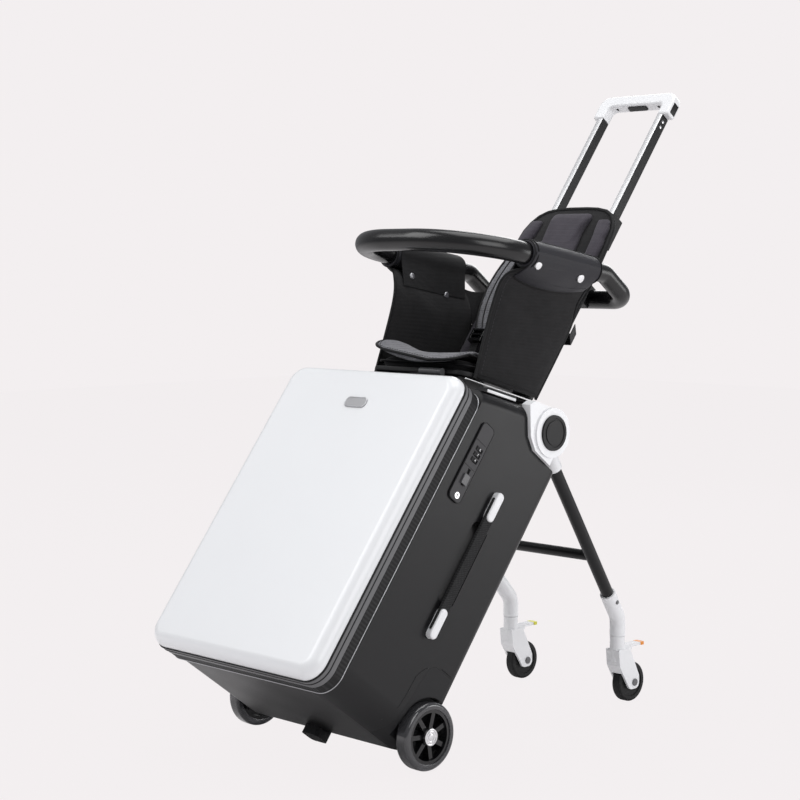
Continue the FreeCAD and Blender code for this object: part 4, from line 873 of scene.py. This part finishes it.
def buildGusset(side, sign):
    # the piece of cloth between a panel's rear edge and the side of the backrest
    g = gusset

    def place(across, up):
        level = g["low"] + up * (g["high"] - g["low"])
        first = Vector(panelSpot(g["panelShare"], g["panelLow"] + g["panelRun"] * up))
        spot = first.lerp(Vector((backWidth(level) - g["tuck"], g["depth"], level)), across)
        spot.z -= g["sag"] * 4 * across * (1 - across) * up * up
        return (sign * spot.x, spot.y, spot.z)

    obj = clothGrid("panelGusset" + side, g["across"], g["up"], place)
    applyMod(obj, "SOLIDIFY", thickness=g["thick"], offset=0)
    smooth(outward(obj), 60)
    finishPiece(obj, "case", "fabricBlack", "seat_fabric")


sidePanels = buildPanels()
print("side panels done")


sleeve = {"inside": 0.01735, "outside": 0.0216, "start": 0.006, "end": 0.168, "x": 0.1475, "loose": 0.0006,
          "edge": 0.0014, "swell": 0.0004, "pinch": 0.0006, "ripple": 0.00025, "tight": 0.012,
          "rings": (0.1665, 0.1585, 0.0080), "ringRadius": 0.0213, "ring": 0.0011}


def sleeveScale(share, turn):
    # a little fuller in the middle, drawn in at the ends, with faint ripples
    s = sleeve
    swell = s["swell"] * math.sin(math.pi * share) - s["pinch"] * abs(math.cos(math.pi * share)) ** 12
    ripple = s["ripple"] * math.sin(19 * share + 2.0 * math.sin(turn)) * math.sin(3 * turn)
    return 1 + (swell + ripple) / s["outside"] - s["tight"]


def buildSleeves():
    s = sleeve
    length = s["end"] - s["start"]
    middle = (s["start"] + s["end"]) / 2
    for side, sign in bothSides:
        bpy.ops.mesh.primitive_cylinder_add(vertices=48, radius=s["outside"], depth=length,
                                            end_fill_type="NOTHING")
        obj = named("barSleeve" + side)
        editAll(obj)
        bpy.ops.mesh.subdivide(number_cuts=9)
        bpy.ops.mesh.remove_doubles(threshold=0.0001)
        backToObject()
        for vert in obj.data.vertices:
            scale = sleeveScale(vert.co.z / length + 0.5, math.atan2(vert.co.y, vert.co.x))
            vert.co.x *= scale
            vert.co.y *= scale
        applyMod(obj, "SOLIDIFY", thickness=s["outside"] - s["inside"] - s["loose"], offset=-1)
        easeEdges(obj, s["edge"], 3, 60)
        mapPoints(obj, lambda a, b, c: onBar(sign * s["x"] + a, middle + c, b))
        smooth(obj, 50)
        finishPiece(obj, "case", "sleeveSlate", "seat_fabric", "bar_sleeves")
        reach = s["ringRadius"]
        turns = [k * math.pi / 24 for k in range(48)]
        for n, ahead in enumerate(s["rings"]):
            ring = [onBar(sign * s["x"] + reach * math.cos(turn), ahead, reach * math.sin(turn))
                    for turn in turns]
            sewCord("sleeveRing%d%s" % (n + 1, side), ring, s["ring"], closed=True)
        buildSleeveFlap(side, sign)
        buildLining(side, sign)


sleeveFlap = {"first": 0.012, "last": 0.164, "reach": 0.022, "least": 0.007, "thick": 0.0022, "edge": 0.0007,
              "along": 40, "down": 14, "radius": 0.0219, "turn": 0.15, "bend": (0.0195, -0.019),
              "seenFrom": 0.20, "clear": 0.0014, "hem": 0.0017, "seamRow": 12, "threadLift": 0.0002,
              "stitch": (0.0034, 0.0024, 0.00045), "snaps": ((36, 6), (9, 7)), "snap": (0.0072, 0.0044)}
panelSide = 0.128        # side of the panel where a ray finds none


def flapReach(ahead):
    f = sleeveFlap
    mid = (ahead - f["first"]) / (f["last"] - f["first"])
    return f["least"] + (f["reach"] - f["least"]) * max(0.0, math.sin(math.pi * (0.05 + 0.90 * mid))) ** 0.6


def flapSpots(sign, ahead):
    # from the sleeve's outer side, in a soft curve, down on to the panel
    f = sleeveFlap
    low = panel["topLow"] - flapReach(ahead)
    foot = drape(sidePanels[sign], [onBar(sign * f["seenFrom"], ahead, low)], (-sign, 0, 0), f["clear"])
    side = abs(foot[0][0]) if foot else panelSide
    start = (sleeve["x"] + f["radius"] * math.cos(f["turn"]), f["radius"] * math.sin(f["turn"]))
    bend = (sleeve["x"] + f["bend"][0], f["bend"][1])
    spots = []
    for k in range(f["down"] + 1):
        t = k / f["down"]
        x = (1 - t) ** 2 * start[0] + 2 * t * (1 - t) * bend[0] + t * t * side
        above = (1 - t) ** 2 * start[1] + 2 * t * (1 - t) * bend[1] + t * t * low
        spots.append(onBar(sign * x, ahead, above))
    return spots


def clothColumns(name, cut, columns):
    # cloth through columns of spots, each from the top down
    def place(across, up):
        return columns[round(across * cut["along"])][round(up * cut["down"])]
    return clothGrid(name, cut["along"], cut["down"], place)


def columnSpots(spotsAt, sign, cut):
    step = cut["last"] - cut["first"]
    return [spotsAt(sign, cut["first"] + k / cut["along"] * step) for k in range(cut["along"] + 1)]


def buildSleeveFlap(side, sign):
    f = sleeveFlap
    columns = columnSpots(flapSpots, sign, f)
    obj = clothColumns("sleeveFlap" + side, f, columns)
    applyMod(obj, "SOLIDIFY", thickness=f["thick"], offset=0)
    easeEdges(obj, f["edge"], 2, 60)
    smooth(obj, 50)
    finishPiece(obj, "case", "sleeveSlate", "seat_fabric")
    sewCord("sleeveFlapHem" + side, [column[-1] for column in columns], f["hem"])
    row = drape(obj, [column[f["seamRow"]] for column in columns], (-sign, 0, 0), f["threadLift"])
    sewStitches("sleeveFlapSeam" + side, row, f["stitch"])
    for n, (column, down) in enumerate(f["snaps"]):
        spot = drape(obj, [columns[column][down]], (-sign, 0, 0))[0]
        piece = dome("flapSnap%d%s" % (n + 1, side), spot, (sign, 0.2, -0.3), *f["snap"])
        finishPiece(piece, "case", "snapBright", "bright_metal")


lining = {"first": 0.010, "last": 0.160, "radius": 0.0226, "low": -0.050, "thick": 0.0014, "along": 30,
          "down": 14, "seenFrom": 0.06, "clear": 0.0008, "overTop": 95, "step": 11, "bends": 10, "falls": 5,
          "hem": 0.0012, "studs": ((0.138, 12), (0.052, 14)), "stud": (0.0055, 0.004)}


def liningSpots(sign, ahead):
    # over the top of the sleeve, down its inner side and on to the inside of the panel
    n = lining
    foot = drape(sidePanels[sign], [onBar(sign * n["seenFrom"], ahead, n["low"])], (sign, 0, 0), n["clear"])
    side = abs(foot[0][0]) if foot else panelSide
    line = []
    for k in range(n["bends"]):
        turn = math.radians(n["overTop"] + n["step"] * k)
        line.append(Vector((sleeve["x"] + n["radius"] * math.cos(turn), n["radius"] * math.sin(turn))))
    last = line[-1]
    for k in range(n["falls"]):
        line.append(last.lerp(Vector((side, n["low"])), (k + 1) / n["falls"]))
    return [onBar(sign * x, ahead, above) for x, above in line]


def buildLining(side, sign):
    n = lining
    columns = columnSpots(liningSpots, sign, n)
    obj = clothColumns("sleeveLining" + side, n, columns)
    applyMod(obj, "SOLIDIFY", thickness=n["thick"], offset=0)
    smooth(outward(obj), 50)
    finishPiece(obj, "case", "fabricBlack", "seat_fabric")
    sewCord("liningHem" + side, [column[0] for column in columns], n["hem"])
    for k, (ahead, row) in enumerate(n["studs"]):
        spot = liningSpots(sign, ahead)[row]
        stud = dome("liningStud%d%s" % (k + 1, side), spot, (-sign, 0, 0.1), *n["stud"])
        finishPiece(stud, "case", "steel", "bright_metal")


buildSleeves()
print("sleeves done")


band = {"front": 0.2070, "thick": 0.0045, "width": 0.032, "top": 0.836, "edge": 0.0026, "inset": 0.0012,
        "arc": ((0.040, 0.8525), (0.061, 0.7655), (0.039, 0.6785)), "depth": 0.0035, "voxel": 0.0026,
        "pressure": 2.0, "swell": 0.0012, "under": -0.004, "pipingInset": 0.0014, "piping": 0.0023,
        "middlePiping": 0.0013, "seenFrom": 0.02}
bandTail = {"x": 0.059, "half": 0.008, "front": 0.2106, "rear": 0.2126, "low": 0.575, "high": 0.6560,
            "edge": 0.0004}


def bandLine(shift):
    line = arc(*[(x + shift, w) for x, w in band["arc"]], 36)
    return [(x, w) for x, w in line if w < band["top"]]


def buildBands():
    b = band
    outline = bandLine(b["width"] - b["inset"]) + list(reversed(bandLine(b["inset"])))
    for side, sign in bothSides:
        def place(x, w, up):
            return (sign * x, b["front"] + b["thick"] - up, w)
        obj = swollen("harnessBand" + side, outline, b, b["under"], b["thick"], place, fine=0)
        finishPiece(obj, "case", "meshGrey", "mesh_grey", "harness_bands")
        for edge, shift in (("Inner", b["pipingInset"]), ("Outer", b["width"] - b["pipingInset"])):
            spots = [place(x, w, b["edge"]) for x, w in bandLine(shift)]
            sewCord("bandPiping" + edge + side, spots, b["piping"])
        run = [place(x, w, b["seenFrom"]) for x, w in bandLine(b["width"] * 0.5)]
        sewCord("bandPipingMiddle" + side, drape(obj, run, (0, 1, 0)), b["middlePiping"])
        finishPiece(sideSlab("bandWebbing" + side, sign, bandTail), "case", "webbing", "seat_fabric")


buildBands()
print("harness bands done")


# small parts the CAD leaves out: bright strips, beads, screws, marks; also the lit white side of each seat
# rail, whose shaded rest is painted black

rodStrip = {"x": 0.065, "half": 0.0055, "front": 0.2377, "rear": 0.2384, "low": 0.684, "high": 1.1525,
            "edge": 0.0001}
handleScrews = {"depth": 0.247, "rodX": 0.0708, "levels": (1.1420, 1.1310), "head": (0.0027, 0.0016),
                "gripX": 0.045, "gripLevel": 1.1780, "hole": (0.0028, 0.0008)}
gripCover = {"x": 0.0820, "half": 0.0006, "front": 0.2405, "rear": 0.2535, "low": 1.1580, "high": 1.1790,
             "edge": 0.0004}


def addHandleTrim():
    s = handleScrews
    for side, sign in bothSides:
        finishPiece(sideSlab("rodStrip" + side, sign, rodStrip), "handle", "stripSilver", "rod_alloy")
    for n, level in enumerate(s["levels"]):
        head = dome("rodScrew%d" % (n + 1), (s["rodX"], s["depth"], level), (1, 0, 0), *s["head"])
        finishPiece(head, "handle", "chrome", "rod_alloy")
    for side, sign in bothSides:
        spot = (sign * s["gripX"], s["depth"], s["gripLevel"])
        # a black dome stands for each screw hole under the grip: painted shade of the hole
        hole = dome("gripScrew" + side, spot, (0, 0, -1), *s["hole"])
        finishPiece(hole, "handle", "blackPlastic", "white_plastic")
        finishPiece(sideSlab("gripCover" + side, sign, gripCover), "handle", "blackPlastic", "white_plastic")


caseSide = {"half": 0.1855, "low": -0.0380, "high": 0.4630, "corner": 0.0305}
caseBeads = {
    # name: (stands out by, depth, radius, body, finish, slot)
    "rimBead": (0.0003, 0.0305, 0.0011, "lid", "blackPlastic", "rim_grey"),
    "lidBead": (-0.0002, 0.0224, 0.00176, "lid", "blackPlastic", "rim_grey"),
    "gasketBead": (0.0, 0.0566, 0.0008, "case", "steel", "gasket_black"),
}
# the lit white outer side of each seat rail; the rest of the rail is black as painted shade
railLitSide = {"x": (0.1717, 0.1728), "along": (0.034, 0.0985), "above": (0.0012, 0.0054), "edge": 0.0003}
lockTrim = {"x": 0.1892, "front": 0.0777, "rear": 0.1057, "low": 0.302, "high": 0.430, "corner": 0.008,
            "edge": 0.0008, "lines": (0.358, 0.400), "lineX": (0.1890, 0.1897), "lineDepth": (0.0790, 0.1044),
            "lineHalf": 0.0005, "lineEdge": 0.0001}
seatBarrel = {"ends": (0.018, 0.064), "along": 0.0424, "above": 0.0290, "radius": 0.0055}


def addBeads():
    c = caseSide
    for name, (out, depth, radius, body, finish, slot) in caseBeads.items():
        half = c["half"] + out
        ring = roundedBox((-half, c["low"] - out), (half, c["high"] + out), [c["corner"] + out] * 4, 12)
        bead = cord(name, [(x, depth, w) for x, w in ring], radius, closed=True)
        finishPiece(bead, body, finish, slot)


def addCaseTrim():
    addBeads()
    r = railLitSide
    for side, sign in bothSides:
        low, high = sorted(sign * x for x in r["x"])
        strip = slab("railLitSide" + side, (low, r["along"][0], r["above"][0]),
                     (high, r["along"][1], r["above"][1]), r["edge"], onSlope)
        finishPiece(strip, "case", "whitePlastic", "white_plastic")
    k = lockTrim
    edge = roundedBox((k["front"], k["low"]), (k["rear"], k["high"]), [k["corner"]] * 4)
    border = cord("lockEdge", [(k["x"], v, w) for v, w in edge], k["edge"], closed=True)
    finishPiece(border, "case", "blackPlastic", "black_plastic")
    for n, w in enumerate(k["lines"]):
        line = slab("lockLine%d" % (n + 1), (k["lineX"][0], k["lineDepth"][0], w - k["lineHalf"]),
                    (k["lineX"][1], k["lineDepth"][1], w + k["lineHalf"]), k["lineEdge"])
        finishPiece(line, "case", "blackPlastic", "black_plastic")
    ends = [onSlope(x, seatBarrel["along"], seatBarrel["above"]) for x in seatBarrel["ends"]]
    finishPiece(cord("seatBarrel", ends, seatBarrel["radius"], sides=8), "case", "barrelGrey", "rod_alloy")


badgeEdge = {"half": 0.0222, "low": 0.3898, "high": 0.4062, "corner": 0.0075, "depth": -0.0011,
             "radius": 0.0009}


def addBadgeEdge():
    # a raised border round the bare plate
    b = badgeEdge
    edge = roundedBox((-b["half"], b["low"]), (b["half"], b["high"]), [b["corner"]] * 4)
    border = cord("plateEdge", [(x, b["depth"], w) for x, w in edge], b["radius"], closed=True)
    finishPiece(border, "lid", "steel", "bright_metal")


wheelTrim = {"web": 0.0362, "webPlace": 0.1815, "webThick": 0.002, "cap": 0.0125, "capDepth": 0.003,
             "capFace": 0.2000, "capEdge": 0.0003,
             "steps": ((0.0022, -0.0009), (0.0012, 0.0007), (0.0030, -0.0007), (0.0010, 0.0008))}
housingSeam = {"side": 0.19, "radius": 0.0010, "sunk": 0.0002,
               "line": [(0.1662, -0.0175), (0.1770, 0.0072), (0.1809, 0.0349), (0.1822, 0.0598),
                        (0.1860, 0.0690), (0.1905, 0.0756), (0.1970, 0.0818), (0.2050, 0.0867),
                        (0.2140, 0.0910), (0.2244, 0.0939), (0.2434, 0.0942), (0.2560, 0.0945)]}


def turnedCap(side, sign):
    # a turned cap: rim, groove, ring and a round head in the middle
    c = wheelTrim
    bpy.ops.mesh.primitive_cylinder_add(vertices=48, radius=c["cap"], depth=c["capDepth"])
    obj = named("wheelCap" + side)
    editAll(obj)
    bpy.ops.mesh.select_mode(type="FACE")
    bpy.ops.mesh.select_all(action="DESELECT")
    backToObject()
    for poly in obj.data.polygons:
        poly.select = poly.normal.z > 0.9
    bpy.ops.object.mode_set(mode="EDIT")
    for inset, rise in c["steps"]:
        bpy.ops.mesh.inset(thickness=inset)
        bpy.ops.mesh.extrude_region_move(TRANSFORM_OT_translate={"value": (0, 0, rise)})
    backToObject()
    easeEdges(obj, c["capEdge"], 2, 40)
    turn = Vector((sign, 0, 0)).to_track_quat("Z", "Y").to_matrix().to_4x4()
    turn.translation = axle + Vector((sign * (c["capFace"] - c["capDepth"] / 2), 0, 0))
    settle(obj, turn)
    smooth(outward(obj), 40)
    return finishPiece(obj, "wheel_" + side.lower(), "chrome", "bright_metal", "wheel_cap_" + side.lower())


def addWheelTrim():
    c = wheelTrim
    h = housingSeam
    shell = bpy.data.objects["back-shell-piece"]
    for side, sign in bothSides:
        place = (sign * c["webPlace"], axleDepth, 0)
        web = dome("hubWeb" + side, place, (sign, 0, 0), c["web"], c["webThick"])
        finishPiece(web, "wheel_" + side.lower(), "hubBlack", "hub_black")
        turnedCap(side, sign)
        spots = drape(shell, [(sign * h["side"], v, w) for v, w in h["line"]], (-sign, 0, 0), -h["sunk"])
        finishPiece(cord("housingSeam" + side, spots, h["radius"]), "case", "blackPlastic", "housing_black")


legTrim = {"screwPlace": (0.160, 0.2397, 0.1740), "screw": (0.0036, 0.0026), "tip": 0.0105}


def addLegTrim():
    x, y, z = legTrim["screwPlace"]
    sockets = bpy.data.objects["leg-sockets-piece"]
    for side, sign in bothSides:
        spot = caseAxes.inverted() @ Vector((sign * x, y, z))
        spot = drape(sockets, [spot], (-sign, 0, 0))[0]
        screw = dome("legScrew" + side, spot, (sign, 0, 0), *legTrim["screw"])
        finishPiece(screw, "legs", "barrelGrey", "steel")
        colourTip(side)


def colourTip(side):
    # the pedal is white up to its coloured tip
    obj = bpy.data.objects["brake-pedal-" + side.lower() + "-piece"]
    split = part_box("brake_pedal_" + side.lower())[1][1] - legTrim["tip"]
    editAll(obj)
    bpy.ops.mesh.bisect(plane_co=(0, split, 0), plane_no=(0, 1, 0))
    backToObject()
    obj.data.materials.append(finishes["whitePlastic"])
    for poly in obj.data.polygons:
        poly.material_index = 0 if poly.center.y > split else 1


dialMark = {"digits": "470", "size": 0.0052, "depth": 0.0003, "radius": 0.0075, "proud": 0.00014,
            "sunk": 0.0004}


def addMarks():
    # digits wrapped on to the dials, so that they turn with room to spare
    d = dialMark
    for n, digit in enumerate(d["digits"]):
        low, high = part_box("lock_dial_%d" % (n + 1))
        bpy.ops.object.text_add()
        text = bpy.context.object.data
        text.body = digit
        text.size = d["size"]
        text.extrude = d["depth"]
        text.align_x = "CENTER"
        text.align_y = "CENTER"
        bpy.ops.object.convert(target="MESH")
        obj = named("dialMark%d" % (n + 1))
        editAll(obj)
        bpy.ops.mesh.subdivide(number_cuts=3)
        backToObject()
        centre = Vector((high[0] - d["radius"], (low[1] + high[1]) / 2, (low[2] + high[2]) / 2))
        for vert in obj.data.vertices:
            reach = d["radius"] + (d["proud"] if vert.co.z > 0 else -d["sunk"])
            turn = vert.co.x / d["radius"]
            out = Vector((reach * math.cos(turn), 0, 0))
            vert.co = centre + caseBack * (reach * math.sin(turn)) + caseUp * vert.co.y + out
        outward(obj)
        finishPiece(obj, "dial_%d" % (n + 1), "whitePlastic", "black_plastic")


addHandleTrim()
addCaseTrim()
addBadgeEdge()
addWheelTrim()
addLegTrim()
addMarks()
print("trim done")


# the photograph's view

view = {"turn": 45.9, "pitch": 5.0, "distance": 2.8627, "aim": (0, 0.120, 0.480), "lens": 84.0, "sensor": 36,
        "shift": (0.0069, 0.0308)}


def addCamera():
    turn = math.radians(view["turn"])
    pitch = math.radians(view["pitch"])
    back = Vector((math.sin(turn) * math.cos(pitch), -math.cos(turn) * math.cos(pitch), math.sin(pitch)))
    aim = Vector(view["aim"]) + Vector((0, axle.y, 0))
    bpy.ops.object.camera_add(location=aim + back * view["distance"], rotation=(math.pi / 2 - pitch, 0, turn))
    camera = bpy.context.object
    camera.data.lens = view["lens"]
    camera.data.sensor_width = view["sensor"]
    camera.data.shift_x, camera.data.shift_y = view["shift"]
    bpy.context.scene.camera = camera


studio = {
    # name: (place, aim, size, watts)
    "keyLight": ((-1.2, -1.9, 2.6), (0, -0.1, 0.5), 2.0, 46),
    "sideLight": ((2.8, -0.6, 1.7), (0.1, 0, 0.5), 1.8, 30),
    "topLight": ((0.3, 0.6, 3.2), (0, 0, 0.5), 2.4, 48),
    "rearLight": ((-1.2, 2.6, 1.8), (0, 0, 0.6), 1.6, 26),
    "sheenLight": ((2.5, 2.4, 0.6), (0.19, 0, 0.4), 1.2, 16),
}


def addLights():
    for name, (place, aim, size, watts) in studio.items():
        turn = (Vector(aim) - Vector(place)).to_track_quat("-Z", "Y").to_euler()
        bpy.ops.object.light_add(type="AREA", location=place, rotation=turn)
        lamp = bpy.context.object
        lamp.name = name
        lamp.data.size = size
        lamp.data.energy = watts


backdropColor = (0.896, 0.863, 0.871)
floor = {"size": 14, "level": -0.0005, "plainShare": 0.985}
skyLight = {"color": (0.95, 0.96, 1.0, 1), "strength": 0.34}


def plainForCamera(tree, lit, plain, target, share):
    # the camera sees the plain backdrop, while all other light meets the lit shader
    plain.inputs["Color"].default_value = (*backdropColor, 1)
    path = tree.nodes.new("ShaderNodeLightPath")
    part = tree.nodes.new("ShaderNodeMath")
    part.operation = "MULTIPLY"
    part.inputs[1].default_value = share
    mix = tree.nodes.new("ShaderNodeMixShader")
    tree.links.new(path.outputs["Is Camera Ray"], part.inputs[0])
    tree.links.new(part.outputs[0], mix.inputs["Fac"])
    tree.links.new(lit.outputs[0], mix.inputs[1])
    tree.links.new(plain.outputs[0], mix.inputs[2])
    tree.links.new(mix.outputs[0], tree.nodes[target].inputs["Surface"])


def addWorld():
    world = bpy.data.worlds.new("studioWorld")
    bpy.context.scene.world = world
    world.use_nodes = True
    tree = world.node_tree
    soft = tree.nodes["Background"]
    soft.inputs["Color"].default_value = skyLight["color"]
    soft.inputs["Strength"].default_value = skyLight["strength"]
    plainForCamera(tree, soft, tree.nodes.new("ShaderNodeBackground"), "World Output", 1.0)


def addFloor():
    bpy.ops.mesh.primitive_plane_add(size=floor["size"], location=(0, 0, floor["level"]))
    obj = named("studioFloor")
    settle(obj, Matrix.Identity(4))
    tree = finishes["floorPale"].node_tree
    glow = tree.nodes.new("ShaderNodeEmission")
    plainForCamera(tree, tree.nodes["Principled BSDF"], glow, "Material Output", floor["plainShare"])
    obj.data.materials.append(finishes["floorPale"])


bpy.context.scene.view_settings.view_transform = "Standard"
addCamera()
addLights()
addWorld()
addFloor()
print("studio set")
